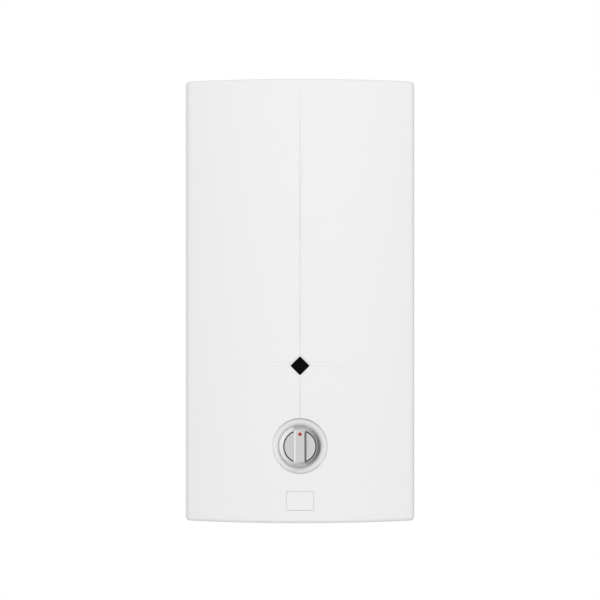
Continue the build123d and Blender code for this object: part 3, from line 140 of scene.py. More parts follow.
def grain(made, size_mm, height, detail=2.0, stretch=(1, 1, 1)):
    """A bump from such a pattern; stretch makes it longer one way, as brushing does."""
    tree = made.node_tree
    noise = speckle(made, size_mm, detail, stretch)
    bump = add(tree, "ShaderNodeBump", [("Strength", 1.0), ("Distance", height * MM)],
               [("Height", noise.outputs["Fac"])])
    tree.links.new(bump.outputs["Normal"], tree.nodes["Principled BSDF"].inputs["Normal"])
    return noise


def colour_ramp(tree, factor, stops):
    """Turns a value into a colour between two stops of (position, hex)."""
    ramp = add(tree, "ShaderNodeValToRGB", [], [("Fac", factor)])
    for step, (position, hex_colour) in zip(ramp.color_ramp.elements, stops):
        step.position, step.color = position, linear(hex_colour)
    tree.links.new(ramp.outputs["Color"], tree.nodes["Principled BSDF"].inputs["Base Color"])


def mottle(made, noise, low, high, socket="Base Color"):
    """Lets a pattern vary a colour between two hex values, or a roughness between two numbers."""
    tree = made.node_tree
    if socket == "Base Color":
        colour_ramp(tree, noise.outputs["Fac"], ((0.3, low), (0.7, high)))
        return
    spread = add(tree, "ShaderNodeMapRange",
                 [("From Min", 0.3), ("From Max", 0.7), ("To Min", low), ("To Max", high)],
                 [("Value", noise.outputs["Fac"])])
    tree.links.new(spread.outputs["Result"], tree.nodes["Principled BSDF"].inputs[socket])


def painted_crease_shade(made, reach_mm, shaded_colour, open_colour):
    """Paints shade into the colour where faces stand close together: an occlusion node greys creases and
    recesses.
    """
    tree = made.node_tree
    # painted shade: the occlusion value darkens the colour in creases and recesses
    near = add(tree, "ShaderNodeAmbientOcclusion", [("samples", 16), ("Distance", reach_mm * MM)])
    colour_ramp(tree, near.outputs["AO"], ((0.5, shaded_colour), (1.0, open_colour)))


finishes = {}

# %% [markdown]
# The case is injection-moulded ABS, bright white and glossy. A polished mould leaves it almost flat, with the
# faint waviness of shrinkage over the ribs, a few millimetres long and some microns high. Its creases and
# recesses carry painted shade, a grey laid into the colour where faces stand close. The window is smoked
# acrylic, hard and very glossy, and the knob is ABS with a silver lacquer of fine metal flakes.

# %% White, dark and silver plastics
white = finish_of("ABS, polished white", "F2F2F2", 0.34, IOR=1.53)
mottle(white, grain(white, 7.0, 0.004), 0.31, 0.37, "Roughness")
# painted shade: the white greys towards CFCFCE where faces stand within 4 mm of each other, in creases and
# recesses
painted_crease_shade(white, 4.0, "CFCFCE", "F2F2F2")
finishes["white_case"] = white

plate_white = finish_of("ABS, white plate", "F2F2F2", 0.3, IOR=1.53)
mottle(plate_white, grain(plate_white, 2.5, 0.003), 0.27, 0.33, "Roughness")
finishes["white_plate"] = plate_white

back_white = finish_of("ABS, spark-eroded white", "E4E4E0", 0.55, IOR=1.53)
mottle(back_white, grain(back_white, 0.9, 0.02, 4.0), "E0E0DC", "E7E7E4")
finishes["back_plate_plastic"] = back_white

smoked = finish_of("acrylic, smoked", "030304", 0.12, IOR=1.49, Specular_IOR_Level=0.05)
grain(smoked, 5.0, 0.001)
finishes["dark_lens"] = smoked

silver = finish_of("silver lacquer on ABS", "D2D2D1", 0.28, 0.92)
mottle(silver, grain(silver, 0.5, 0.0015, 3.0), "CFCFCE", "D7D7D6")
finishes["knob_silver"] = silver

red = finish_of("ABS, red", "B5221C", 0.35, IOR=1.53)
mottle(red, grain(red, 1.5, 0.004), "AE1E19", "BC2821")
finishes["red_plastic"] = red
print("plastics:", len(finishes))

# %% [markdown]
# Inside, each metal tells how it was made. Steel screws and straps are zinc plated, a cool grey with slight
# clouds. Springs are drawn wire, darker and glossier. Brass is turned and shows fine rings of the tool, and
# the copper tube and vessel carry a warm skin of oxide, duller where flux and heat have been.

# %% Metals
zinc = finish_of("steel, zinc plated", "B4B7BA", 0.38, 1.0)
mottle(zinc, grain(zinc, 1.2, 0.006, 4.0), "A3A6AA", "C2C4C6")
finishes["zinc_steel"] = zinc

wire_steel = finish_of("spring steel, drawn", "85888C", 0.24, 1.0)
mottle(wire_steel, grain(wire_steel, 0.3, 0.003), "7A7D81", "909397")
finishes["spring_steel"] = wire_steel

brass = finish_of("brass, turned", "C3A05A", 0.3, 1.0)
mottle(brass, grain(brass, 0.4, 0.006, 3.0, (1, 1, 6)), "B18E4B", "CFAE6B")
finishes["brass"] = brass

copper = finish_of("copper, drawn and annealed", "B5714E", 0.34, 1.0)
grain(copper, 1.6, 0.008, 4.0)
mottle(copper, speckle(copper, 22.0, 3.0), "9A5A3E", "C58463")
finishes["copper"] = copper

sheath = finish_of("nickel alloy, oxidised", "6D6A66", 0.45, 1.0)
mottle(sheath, grain(sheath, 1.0, 0.008, 4.0), "57544F", "7D7A74")
finishes["element_steel"] = sheath
print("plastics and metals:", len(finishes))

# %% [markdown]
# The other mouldings are a black glass-filled phenolic for what carries current, a cream polyamide for the
# block and the lamp's arm, rubber for seals and grommet, and soft PVC on the wires. The fillers show as a
# fine speckle, and rubber and PVC keep a dull bloom.

# %% Phenolic, polyamide, rubber, PVC and glass
phenolic = finish_of("phenolic, black", "1D1D1F", 0.42, IOR=1.6)
mottle(phenolic, grain(phenolic, 0.6, 0.01, 4.0), "17171A", "262628")
finishes["black_moulding"] = phenolic

polyamide = finish_of("polyamide, cream", "DDD6C2", 0.44, IOR=1.53)
mottle(polyamide, grain(polyamide, 0.8, 0.01, 3.0), "D6CEB9", "E3DCCA")
finishes["pale_moulding"] = polyamide

rubber = finish_of("rubber, black", "1B1B1B", 0.72, IOR=1.52)
mottle(rubber, grain(rubber, 0.7, 0.015, 4.0), "161616", "242424")
finishes["black_rubber"] = rubber

glass = finish_of("glass, neon lamp", "E9A064", 0.06, IOR=1.5, Alpha=0.55)
grain(glass, 2.0, 0.002)
finishes["lamp_glass"] = glass


def sleeves(colours):
    """Soft PVC in several colours, each with the fine bloom that extrusion leaves."""
    for name, colour in colours.items():
        finishes[name + "_sleeve"] = finish_of("PVC sleeve, " + name, colour, 0.42, IOR=1.53)
        grain(finishes[name + "_sleeve"], 1.1, 0.012, 2.0)


sleeves({"brown": "5B3A26", "black": "18181A", "grey": "8B8E91", "blue": "274F97"})
print("finishes:", len(finishes))

# %% [markdown]
# An earth wire is green and yellow. Extrusion lays the second colour along the sleeve in one pass, so the two
# colours are two bands that run with the wire, and each band has its own finish.

# %% Green and yellow sleeve
sleeves({"green": "2F7D27", "yellow": "D9C62A"})
print("finishes in all:", len(finishes))

# %% [markdown]
# A solid arrives as loose triangles with hard shading. For the eye its curved faces must be smooth and its
# edges sharp. So a piece starts as a copy, its doubles merged, and is shaded by the angle between its faces.
# What the part does in the mechanism stays with the solid; the copy only stands for it in the picture.

# %% Pieces from the solids
slot_of = {s["node"]: s["material_slot"] for s in frame["record"]["subparts"]}


def copy_of(node):
    """A bmesh of a solid's triangles, joined."""
    bm = bmesh.new()
    bm.from_mesh(nodes[node].data)
    bmesh.ops.remove_doubles(bm, verts=bm.verts, dist=0.004 * MM)
    return bm


def piece(name, bm, body, slot, replaced=(), angle=32, weighted=True):
    """Makes an object of a bmesh, smooth but for sharp edges, riding on its body."""
    mesh = bpy.data.meshes.new(name)
    bm.to_mesh(mesh)
    bm.free()
    mesh.shade_smooth()
    mesh.set_sharp_from_angle(angle=math.radians(angle))
    made = bpy.data.objects.new(name, mesh)
    bpy.context.scene.collection.objects.link(made)
    mesh.materials.append(finishes[slot])
    if weighted:
        normals = made.modifiers.new("face areas", "WEIGHTED_NORMAL")
        normals.keep_sharp = True
    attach(made, body)
    if replaced:
        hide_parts(*replaced)
    return made


def body_with(node):
    """The name of the body that carries a node."""
    return nodes[node]["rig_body"]


def stand_in(name, bm, node, angle=30, weighted=True):
    """Shows a new piece in place of one solid, on its body and in its slot."""
    return piece(name, bm, body_with(node), slot_of[node], [node], angle, weighted)


def dress(node):
    """Stands a smooth copy in for a solid that already has the right shape."""
    return stand_in(node + "_smooth", copy_of(node), node, 32)


def middle(box):
    """The middle of a box, which is a pair of corners."""
    return (box[0] + box[1]) / 2


def islands(node):
    """The box of each separate solid in a node, as pairs of corners, in the order of its vertices."""
    bm = copy_of(node)
    seen, boxes = set(), []
    for first in bm.verts:
        if first in seen:
            continue
        corners, edge = [], [first]
        seen.add(first)
        while edge:
            vert = edge.pop()
            corners.append(vert.co)
            for link in vert.link_edges:
                other = link.other_vert(vert)
                if other not in seen:
                    seen.add(other)
                    edge.append(other)
        boxes.append((Vector([min(c[i] for c in corners) for i in range(3)]),
                      Vector([max(c[i] for c in corners) for i in range(3)])))
    bm.free()
    return boxes


print("plate screws:", len(islands("plate_screws")))

# %% [markdown]
# ## The stage and the light
# The photo is a shop picture: the heater hangs in front of plain white, seen straight on from about 1.7 m
# with a long lens. The camera stands at the height of the case's middle and looks square to the wall, so
# upright edges stay upright, and the bowed front shows as a faint curve of the upper and lower edge.

# %% Camera and stage
PICTURE_PX, CROWN_PX_PER_M = 600, 1017.4
CAMERA_Y, CAMERA_Z, CROWN_DEPTH = -1.80, 0.001, 0.118
SENSOR = 36.0

scene = bpy.context.scene
camera = bpy.data.cameras.new("camera")
camera.sensor_width = SENSOR
camera.lens = SENSOR * CROWN_PX_PER_M * (-CAMERA_Y - CROWN_DEPTH) / PICTURE_PX
camera.clip_start, camera.clip_end = 0.01, 50
camera.dof.use_dof = False
eye = bpy.data.objects.new("camera", camera)
scene.collection.objects.link(eye)
eye.location = (0, CAMERA_Y, CAMERA_Z)
eye.rotation_euler = (math.radians(90), 0, 0)
scene.camera = eye
print("lens", round(camera.lens, 1), "mm")

FLOOR_LOW, FLOOR_HIGH = Vector((-6, -8, -1.22)), Vector((6, 4, -1.2))
slab = bmesh.new()
bmesh.ops.create_cube(slab, size=1.0)
bmesh.ops.transform(slab, matrix=Matrix.Translation(middle((FLOOR_LOW, FLOOR_HIGH)))
                    @ Matrix.Diagonal((FLOOR_HIGH - FLOOR_LOW).to_4d()), verts=slab.verts)
floor_mesh = bpy.data.meshes.new("floor")
slab.to_mesh(floor_mesh)
slab.free()
floor_mesh.materials.append(finish_of("pale floor", "F3F3F2", 0.8))
floor = bpy.data.objects.new("floor", floor_mesh)
scene.collection.objects.link(floor)
floor.visible_glossy = False

# %% [markdown]
# The case is lit softly from the front and a little from above, so the fine creases show as faint darker
# lines, and less light comes from below and the left, where the case ends in a thin dark edge. What the
# silver knob mirrors is the room: a bright screen at the left and a dark gap at the right. So the world is
# one light for the white plastic, another for whatever mirrors it, and white to the camera.

# %% World and lamps
EVEN, SCREEN = 0.61, 1.4
LIT_SIDE, BRIGHT_SIDE = (0.45, 0.0, 0.9), (-0.9, -0.38, 0.2)
world = bpy.data.worlds.new("studio")
scene.world = world
world.use_nodes = True
air = world.node_tree
air.nodes.remove(air.nodes["Background"])
way = add(air, "ShaderNodeTexCoord")


def surround(side, strength, greys):
    """Light from all round that changes from the far side (0) to the named side (1)."""
    facing = add(air, "ShaderNodeVectorMath", [("operation", "DOT_PRODUCT"), (1, side)],
                 [(0, way.outputs["Generated"])])
    across = add(air, "ShaderNodeMapRange", [("From Min", -1.0)], [("Value", facing.outputs["Value"])])
    tones = add(air, "ShaderNodeValToRGB", [], [("Fac", across.outputs["Result"])])
    steps = tones.color_ramp.elements
    for position, _ in greys[1:-1]:
        steps.new(position)
    for step, (position, grey) in zip(steps, greys):
        step.position, step.color = position, (grey, grey, grey, 1)
    return add(air, "ShaderNodeBackground", [("Strength", strength)], [("Color", tones.outputs["Color"])])


even = surround(LIT_SIDE, EVEN, ((0.0, 0.0), (0.35, 0.75), (0.5, 1.0), (1.0, 1.0)))
room = surround(BRIGHT_SIDE, SCREEN, ((0.0, 0.06), (0.25, 0.24), (0.5, 0.55), (0.7, 0.7), (1.0, 1.0)))
paper = add(air, "ShaderNodeBackground", [("Color", (1, 1, 1, 1)), ("Strength", 1.0)])
ray = add(air, "ShaderNodeLightPath")
lit = add(air, "ShaderNodeMixShader", [], [
    (0, ray.outputs["Is Glossy Ray"]), (1, even.outputs["Background"]), (2, room.outputs["Background"])])
seen = add(air, "ShaderNodeMixShader", [], [
    (0, ray.outputs["Is Camera Ray"]), (1, lit.outputs["Shader"]), (2, paper.outputs["Background"])])
air.links.new(seen.outputs["Shader"], air.nodes["World Output"].inputs["Surface"])
scene.view_settings.view_transform = "Standard"
scene.view_settings.look = "None"

LAMP_AT, LAMP_AIM = Vector((0.45, -3.0, 1.3)), Vector((0, -0.1, 0))
lamp = bpy.data.lights.new("front light", "AREA")
lamp.shape, lamp.size, lamp.energy = "SQUARE", 1.6, 41
softbox = bpy.data.objects.new("front light", lamp)
scene.collection.objects.link(softbox)
softbox.location = LAMP_AT
softbox.rotation_euler = (LAMP_AIM - LAMP_AT).to_track_quat("-Z", "Y").to_euler()
softbox.visible_glossy = False

# %% [markdown]
# ## The cover
# The cover is one moulding with a wall of 2.6 mm. Its solid has the right form, but its bowed face is made of
# long flat strips. So the copy is cut across and along into narrow ones, and every new point that lies near
# the bow is set exactly on it. Then the face reflects as one calm curve, and the groove keeps its steep core
# and soft shoulders.

# %% The bowed front
CASE_DEPTH, FRONT_BOW, HALF_WIDTH = 118 * MM, 23 * MM, 115 * MM
BOW_RADIUS = (HALF_WIDTH ** 2 + FRONT_BOW ** 2) / (2 * FRONT_BOW)
COVER_WALL, CORNER_ROUNDING, NEAR_THE_BOW = 2.6 * MM, 9 * MM, 0.12 * MM


def bow(x, inset=0.0):
    """How far out from the wall the bowed face stands at a place across."""
    return CASE_DEPTH - BOW_RADIUS + math.sqrt((BOW_RADIUS - inset) ** 2 - x ** 2)


def cut_at(bm, places, across):
    """Cuts a mesh with planes square to one direction."""
    for place in places:
        bmesh.ops.bisect_plane(bm, geom=bm.verts[:] + bm.edges[:] + bm.faces[:], dist=0.01 * MM,
                               plane_co=across * place, plane_no=across)


def on_the_bow(bm, inset):
    """Sets the points that lie near the bow exactly on it."""
    moved = 0
    for vert in bm.verts:
        if abs(vert.co.x) < HALF_WIDTH - CORNER_ROUNDING:
            true = -bow(vert.co.x, inset)
            if abs(vert.co.y - true) < NEAR_THE_BOW:
                vert.co.y = true
                moved += 1
    return moved


shell = copy_of("front_cover")
cut_at(shell, [i * 5.0 * MM for i in range(-21, 22)], RIGHT)
cut_at(shell, [i * 30.0 * MM for i in range(-7, 8)], UP)
print("points on the bow:", on_the_bow(shell, 0.0) + on_the_bow(shell, COVER_WALL))
cover = stand_in("cover_shell", shell, "front_cover", 24)
print("cover faces:", len(cover.data.polygons))

# %% [markdown]
# ## The knob
# The knob is moulded ABS with a silver coat: a coned skirt, a turned groove, a shallow dished face and a grip
# bar across it. The round parts come from one outline that is spun, with each corner eased a little, because
# no moulded edge is sharp and an eased edge is what catches the light.

# %% Turned shapes


def eased(points, steps=4):
    """Rounds the corners of an outline where a point gives a third number, its rounding."""
    line = []
    for i, point in enumerate(points):
        here = Vector(point[:2])
        if len(point) == 2:
            line.append(here)
            continue
        before, after = (Vector(points[(i + j) % len(points)][:2]) for j in (-1, 1))
        start, end = (here + (other - here).normalized() * point[2] for other in (before, after))
        for step in range(steps + 1):
            t = step / steps
            line.append(start.lerp(here, t).lerp(here.lerp(end, t), t))
    return line


def lathe(points, at, axis, steps=64, closed=False, cap=False):
    """Spins an outline of radius and height, in millimetres, about an axis."""
    bm = bmesh.new()
    side = axis.orthogonal().normalized()
    line = [bm.verts.new(at + (side * p.x + axis * p.y) * MM) for p in eased(points)]
    for a, b in zip(line, line[1:] + line[:1] if closed else line[1:]):
        bm.edges.new((a, b))
    bmesh.ops.spin(bm, geom=bm.verts[:] + bm.edges[:], cent=at, axis=axis, angle=math.tau, steps=steps,
                   use_merge=True)
    bmesh.ops.remove_doubles(bm, verts=bm.verts, dist=0.002 * MM)
    if cap:
        bmesh.ops.holes_fill(bm, edges=bm.edges, sides=0)
    bmesh.ops.recalc_face_normals(bm, faces=bm.faces)
    return bm


def merged(*meshes):
    """Puts the shapes of several bmeshes in one."""
    whole = bmesh.new()
    for bm in meshes:
        mesh = bpy.data.meshes.new("part")
        bm.to_mesh(mesh)
        bm.free()
        whole.from_mesh(mesh)
        bpy.data.meshes.remove(mesh)
    return whole


def bevelled(bm, edges, width, segments=2):
    """Eases edges with a small rounded bevel."""
    bmesh.ops.bevel(bm, geom=edges, offset=width * MM, offset_type="OFFSET", affect="EDGES",
                    segments=segments, profile=0.5, material=-1, clamp_overlap=True)
    return bm


def booleaned(bm, cutter, operation="DIFFERENCE"):
    """One shape cut from another, or joined with it."""
    pair = []
    for name, part in (("blank", bm), ("tool", cutter)):
        mesh = bpy.data.meshes.new(name)
        if part.calc_volume(signed=True) < 0:
            bmesh.ops.reverse_faces(part, faces=part.faces)
        part.to_mesh(mesh)
        part.free()
        pair.append(bpy.data.objects.new(name, mesh))
        scene.collection.objects.link(pair[-1])
    cut = pair[0].modifiers.new("cut", "BOOLEAN")
    cut.object, cut.operation, cut.solver = pair[1], operation, "EXACT"
    graph = bpy.context.evaluated_depsgraph_get()
    bm = bmesh.new()
    bm.from_mesh(pair[0].evaluated_get(graph).to_mesh())
    for made in pair:
        bpy.data.objects.remove(made)
    bmesh.ops.remove_doubles(bm, verts=bm.verts, dist=0.002 * MM)
    bmesh.ops.holes_fill(bm, edges=bm.edges, sides=6)
    return bm


print("an eased corner has", len(eased([(0, 0), (1, 0, 0.2), (1, 1)])), "points")

# %% [markdown]
# The bar is what fingers hold. It is the middle slice of a cone, so its ends fall away with the skirt, and a
# wide bevel along it catches the light. Its upper end carries a small red dot let into the plastic.

# %% Knob, bar and dot
knob_low, knob_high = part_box("knob")
knob_at = Vector(((knob_low.x + knob_high.x) / 2, 0, (knob_low.z + knob_high.z) / 2))
KNOB_RADIUS = (knob_high.x - knob_low.x) / 2 / MM
GRIP_FRONT = -knob_low.y / MM
HUB_BACK = -knob_high.y / MM
KNOB_FACE, SKIRT_FOOT, SHAFT_END = GRIP_FRONT - 6.5, GRIP_FRONT - 13.8, GRIP_FRONT - 10.0
SKIRT_EDGE = KNOB_FACE - 3.4
SHAFT_BORE, HUB_RADIUS, FACE_EDGE, GROOVE = 3.15, 9.6, 17.0, 15.8

turned = lathe([
    (0, SHAFT_END), (SHAFT_BORE, SHAFT_END), (SHAFT_BORE, HUB_BACK), (HUB_RADIUS, HUB_BACK, 0.4),
    (HUB_RADIUS, SKIRT_FOOT), (KNOB_RADIUS, SKIRT_FOOT, 0.3), (KNOB_RADIUS, SKIRT_EDGE, 1.0),
    (FACE_EDGE, KNOB_FACE, 0.4), (GROOVE + 0.7, KNOB_FACE, 0.1), (GROOVE, KNOB_FACE - 2.4),
    (GROOVE - 0.7, KNOB_FACE - 0.1, 0.3), (0, KNOB_FACE - 0.8)], knob_at, FRONT, 128)

GRIP_HALF, GRIP_BEVEL, GRIP_DRAFT, GRIP_END = 5.9, 1.6, 0.8, 17.0
bar = lathe([(KNOB_RADIUS - 0.1, SKIRT_EDGE - 1.0), (KNOB_RADIUS - 0.1, SKIRT_EDGE, 0.8),
             (GRIP_END, GRIP_FRONT - 1.5, 0.3), (GRIP_END - 2.2, GRIP_FRONT)], knob_at, FRONT, 128, cap=True)
slopes = [((GRIP_FRONT - SKIRT_EDGE, GRIP_DRAFT), GRIP_HALF), ((1, 1), GRIP_HALF - GRIP_BEVEL)]
for side in (-1, 1):
    for (out, forward), half in slopes:
        cut = bmesh.ops.bisect_plane(bar, geom=bar.verts[:] + bar.edges[:] + bar.faces[:], dist=0.001 * MM,
                                     plane_co=knob_at + (RIGHT * side * half + FRONT * GRIP_FRONT) * MM,
                                     plane_no=(RIGHT * side * out + FRONT * forward).normalized(),
                                     clear_outer=True)
        bmesh.ops.edgeloop_fill(bar, edges=[e for e in cut["geom_cut"] if isinstance(e, bmesh.types.BMEdge)])
bmesh.ops.recalc_face_normals(bar, faces=bar.faces)

dot_low, dot_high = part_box("knob_dot")
dot_at = Vector((0, 0, (dot_low.z + dot_high.z) / 2))
DOT_SEAT = GRIP_FRONT - 0.6
well = lathe([(0, DOT_SEAT), (1.8, DOT_SEAT), (1.8, GRIP_FRONT + 1), (0, GRIP_FRONT + 1)], dot_at, FRONT, 48)
stand_in("knob_turned", merged(turned, booleaned(bar, well)), "knob", 28)
dot = lathe([(0, DOT_SEAT), (1.75, DOT_SEAT), (1.75, GRIP_FRONT - 0.1, 0.15), (0, GRIP_FRONT)],
            dot_at, FRONT, 48)
stand_in("knob_dot_round", dot, "knob_dot", 32)
print("knob radius", round(KNOB_RADIUS, 2), "and front", round(GRIP_FRONT, 1))

# %% [markdown]
# ## Screws
# All screws are cold-headed steel with rolled threads: a low rounded head, a cross recess pressed in the same
# blow, and a spiral ridge. Each kind is made once and copied to every place where its solid stands, so the
# hand that opens the heater finds a real screw there.

# %% One screw of each kind


def cube(size, at=(0, 0, 0)):
    """A box by its size and middle, in millimetres."""
    bm = bmesh.new()
    bmesh.ops.create_cube(bm, size=1.0)
    bmesh.ops.transform(bm, matrix=Matrix.Translation(Vector(at) * MM)
                        @ Matrix.Diagonal((Vector(size) * MM).to_4d()), verts=bm.verts)
    return bm


def thread(radius, low, high, pitch, depth, steps=16):
    """A spiral ridge: a small triangle carried round and up."""
    bm = bmesh.new()
    corners = [bm.verts.new((x * MM, 0, z * MM)) for x, z in
               ((radius - 0.1, low), (radius + depth, low + pitch * 0.35), (radius - 0.1, low + pitch * 0.7))]
    face = bm.faces.new(corners)
    turns = (high - low) / pitch - 1
    bmesh.ops.spin(bm, geom=[face] + face.edges[:] + face.verts[:], cent=(0, 0, 0), axis=UP,
                   dvec=UP * pitch * MM / steps, angle=math.tau * turns, steps=int(steps * turns))
    bmesh.ops.recalc_face_normals(bm, faces=bm.faces)
    return bm


def cross_bit(reach, half, low, high):
    """The tip of a cross screwdriver: four arms about +Z, between two heights."""
    bm = bmesh.new()
    arm = [(half, half), (reach, half), (reach, -half)]
    turned = [(x * c - y * s, x * s + y * c) for c, s in ((1, 0), (0, -1), (-1, 0), (0, 1)) for x, y in arm]
    face = bm.faces.new([bm.verts.new((x * MM, y * MM, low * MM)) for x, y in turned])
    top = bmesh.ops.extrude_face_region(bm, geom=[face], use_keep_orig=True)
    raised = [part for part in top["geom"] if isinstance(part, bmesh.types.BMVert)]
    bmesh.ops.translate(bm, vec=UP * (high - low) * MM, verts=raised)
    bmesh.ops.recalc_face_normals(bm, faces=bm.faces)
    return bm


def pan_screw(head, height, shank, length, pitch=1.4):
    """A pan-head screw on +Z, its head's underside at 0."""
    depth = 0.25
    root, low_side = shank - depth, height * 0.45
    blank = lathe([(0, -length), (shank * 0.5, -length, 0.3), (root, -length + 1.6), (root, 0),
                   (head, 0, 0.1), (head, low_side, 0.7), (head * 0.45, height * 0.97, 1.2), (0, height)],
                  Vector(), UP, 32)
    return merged(booleaned(blank, cross_bit(head * 0.55, 0.4, height / 2, height * 1.5)),
                  thread(root, -length + 0.8, -0.4, pitch, depth))


def copies(template, frames):
    """The same shape at several places, in one bmesh."""
    mesh = bpy.data.meshes.new("template")
    template.to_mesh(mesh)
    template.free()
    bm = bmesh.new()
    for frame_matrix in frames:
        start = len(bm.verts)
        bm.from_mesh(mesh)
        bm.verts.ensure_lookup_table()
        bmesh.ops.transform(bm, matrix=frame_matrix, verts=bm.verts[start:])
    bpy.data.meshes.remove(mesh)
    return bm


TO_ROOM = Matrix.Rotation(math.radians(90), 4, "X")


def stand(x, y, z, turn=Matrix.Identity(4), spin=0.0):
    """A place for a copy: turned about its own axis, aimed, then moved."""
    return Matrix.Translation((x, y, z)) @ turn @ Matrix.Rotation(spin, 4, "Z")


SHANK = 1.9


def facing_screws(node, height):
    """Replaces screws that are driven towards the wall, each cross at another turn."""
    boxes = islands(node)
    head = (boxes[0][1].x - boxes[0][0].x) / 2 / MM
    length = (boxes[0][1].y - boxes[0][0].y) / MM - height
    places = [stand(middle(b).x, b[0].y + height * MM, middle(b).z, TO_ROOM, i * 0.7)
              for i, b in enumerate(boxes)]
    stand_in(node + "_cross", copies(pan_screw(head, height, SHANK, length), places), node)
    return len(boxes)


driven = facing_screws("plate_screws", 2.4) + facing_screws("clamp_screws", 2.2)

VALVE_HEAD = 3.0
up_boxes = islands("valve_screws")
valve_length = (up_boxes[0][1].z - up_boxes[0][0].z) / MM - VALVE_HEAD
valve_places = [stand(middle(b).x, middle(b).y, b[1].z - VALVE_HEAD * MM, spin=i * 0.9)
                for i, b in enumerate(up_boxes)]
stand_in("valve_screws_cross", copies(pan_screw(3.2, VALVE_HEAD, SHANK, valve_length), valve_places),
         "valve_screws")

COVER_HEAD, TALLEST_NUT = 2.6, 6 * MM
cover_boxes = islands("cover_screws")
bolts = [b for b in cover_boxes if b[1].z - b[0].z > TALLEST_NUT]
nuts = [b for b in cover_boxes if b[1].z - b[0].z <= TALLEST_NUT]
HEAD_DOWN = Matrix.Rotation(math.radians(180), 4, "X")
cover_bolts = copies(pan_screw(4.0, COVER_HEAD, 2.0, 11.0, 0.7), [
    stand(middle(b).x, middle(b).y, b[0].z + COVER_HEAD * MM, HEAD_DOWN, 0.4) for b in bolts])
blanks = [cube((high - low) / MM, (low + high) / 2 / MM) for low, high in nuts]
captive_nuts = [bevelled(blank, blank.edges[:], 0.25) for blank in blanks]
stand_in("cover_screws_cross", merged(cover_bolts, *captive_nuts), "cover_screws")
print("screws:", driven + len(up_boxes) + len(bolts))

# %% [markdown]
# ## Wires
# The wires are stranded copper in PVC. A stiff wire leaves its clamp straight and then bends evenly, so each
# runs along a curve through a few guiding points, from a real clamp to a real tab. Its ends are not cut off:
# a ferrule goes under each clamp screw, a push-on receptacle on each tab and a ring under each stud's nut.

# %% Tubes along a route


def at(x, depth, z):
    """A point by its place across, its distance out from the wall and its height, in metres."""
    return Vector((x, -depth, z))


def tube(points, radius, smooth=3, around=3):
    """A round bar along a curve that the points guide, as a bmesh with closed ends."""
    data = bpy.data.curves.new("route", "CURVE")
    data.dimensions, data.resolution_u = "3D", 8
    line = data.splines.new("NURBS")
    line.points.add(len(points) - 1)
    for point, place in zip(line.points, points):
        point.co = (*place, 1)
    line.order_u, line.use_endpoint_u = smooth, True
    data.bevel_depth, data.bevel_resolution, data.use_fill_caps = radius * MM, around, True
    made = bpy.data.objects.new("route", data)
    scene.collection.objects.link(made)
    mesh = bpy.data.meshes.new_from_object(made.evaluated_get(bpy.context.evaluated_depsgraph_get()))
    bm = bmesh.new()
    bm.from_mesh(mesh)
    bmesh.ops.remove_doubles(bm, verts=bm.verts, dist=0.002 * MM)
    bmesh.ops.recalc_face_normals(bm, faces=bm.faces)
    bpy.data.objects.remove(made)
    bpy.data.curves.remove(data)
    bpy.data.meshes.remove(mesh)
    return bm


terminal_plates = sorted(islands("terminal_clamps"), key=lambda b: b[0].x)
switch_plates = sorted(islands("switch_clamps"), key=lambda b: b[0].x)
tabs = sorted(islands("cutout_tabs"), key=lambda b: (round(b[0].z, 4), b[0].x))
low_tabs, high_tabs = tabs[:3], tabs[3:]
stud_nuts = sorted(islands("stud_nuts"), key=lambda b: -b[0].z)[:3]
print("clamps:", len(terminal_plates), len(switch_plates), "tabs:", len(tabs))

# %% [markdown]
# Each phase has three lengths: from the terminal block down to the switch, from the switch up to the thermal
# cut-out, and from the cut-out over the flange to its element. The phases are told apart by colour: brown,
# black and grey.

# %% The three phases
WIRE, ROOM, STOP = 1.9, 4.0 * MM, 2.6 * MM
terminal_depth = -terminal_plates[0][0].y + ROOM / 2
switch_depth = -switch_plates[0][0].y + ROOM / 2
row_low = middle(terminal_plates[0]).z - 6.5 * MM
row_high = row_low + 13 * MM
switch_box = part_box("switch_body")
switch_top, switch_low = switch_box[1].z - 12 * MM, switch_box[0].z + 12 * MM
switch_rows = sorted({round(middle(b).z, 4) for b in switch_plates})
switch_x = sorted({round(middle(b).x, 4) for b in switch_plates})
tab_depth = -middle(tabs[0]).y
flange_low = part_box("element_flange")[0].z


def supply_route(i):
    """From the terminal block down to the switch's upper clamp, bowed a little towards the room."""
    start, end = middle(terminal_plates[i]).x, switch_x[i]
    high, low = row_low - 22 * MM, switch_top + 9 * MM
    return [at(start, terminal_depth, row_low - STOP), at(start, terminal_depth, high),
            at((2 * start + end) / 3, terminal_depth + 16 * MM, low + 0.62 * (high - low)),
            at((start + 3 * end) / 4, switch_depth - 2 * MM, low + 0.22 * (high - low)),
            at(end, switch_depth, low), at(end, switch_depth, switch_rows[1] + STOP)]


def load_route(i):
    """From the switch's lower clamp down, round its left side and up to a lower tab of the cut-out."""
    start, end, low = switch_x[i], middle(low_tabs[2 - i]).x, switch_rows[0]
    tab_end = low_tabs[0][0].z
    return [at(start, switch_depth, low - STOP), at(start, switch_depth + 1 * MM, low - (12 + 4 * i) * MM),
            at(start - 14 * MM, switch_depth + (9 + 2 * i) * MM, low - (24 + 5 * i) * MM),
            at((-12 - 9 * i) * MM, tab_depth - 7 * MM, low - (8 + 9 * i) * MM),
            at(end - 1 * MM, tab_depth + 1 * MM, low + 40 * MM), at(end, tab_depth, tab_end - 14 * MM),
            at(end, tab_depth, tab_end - 1 * MM)]


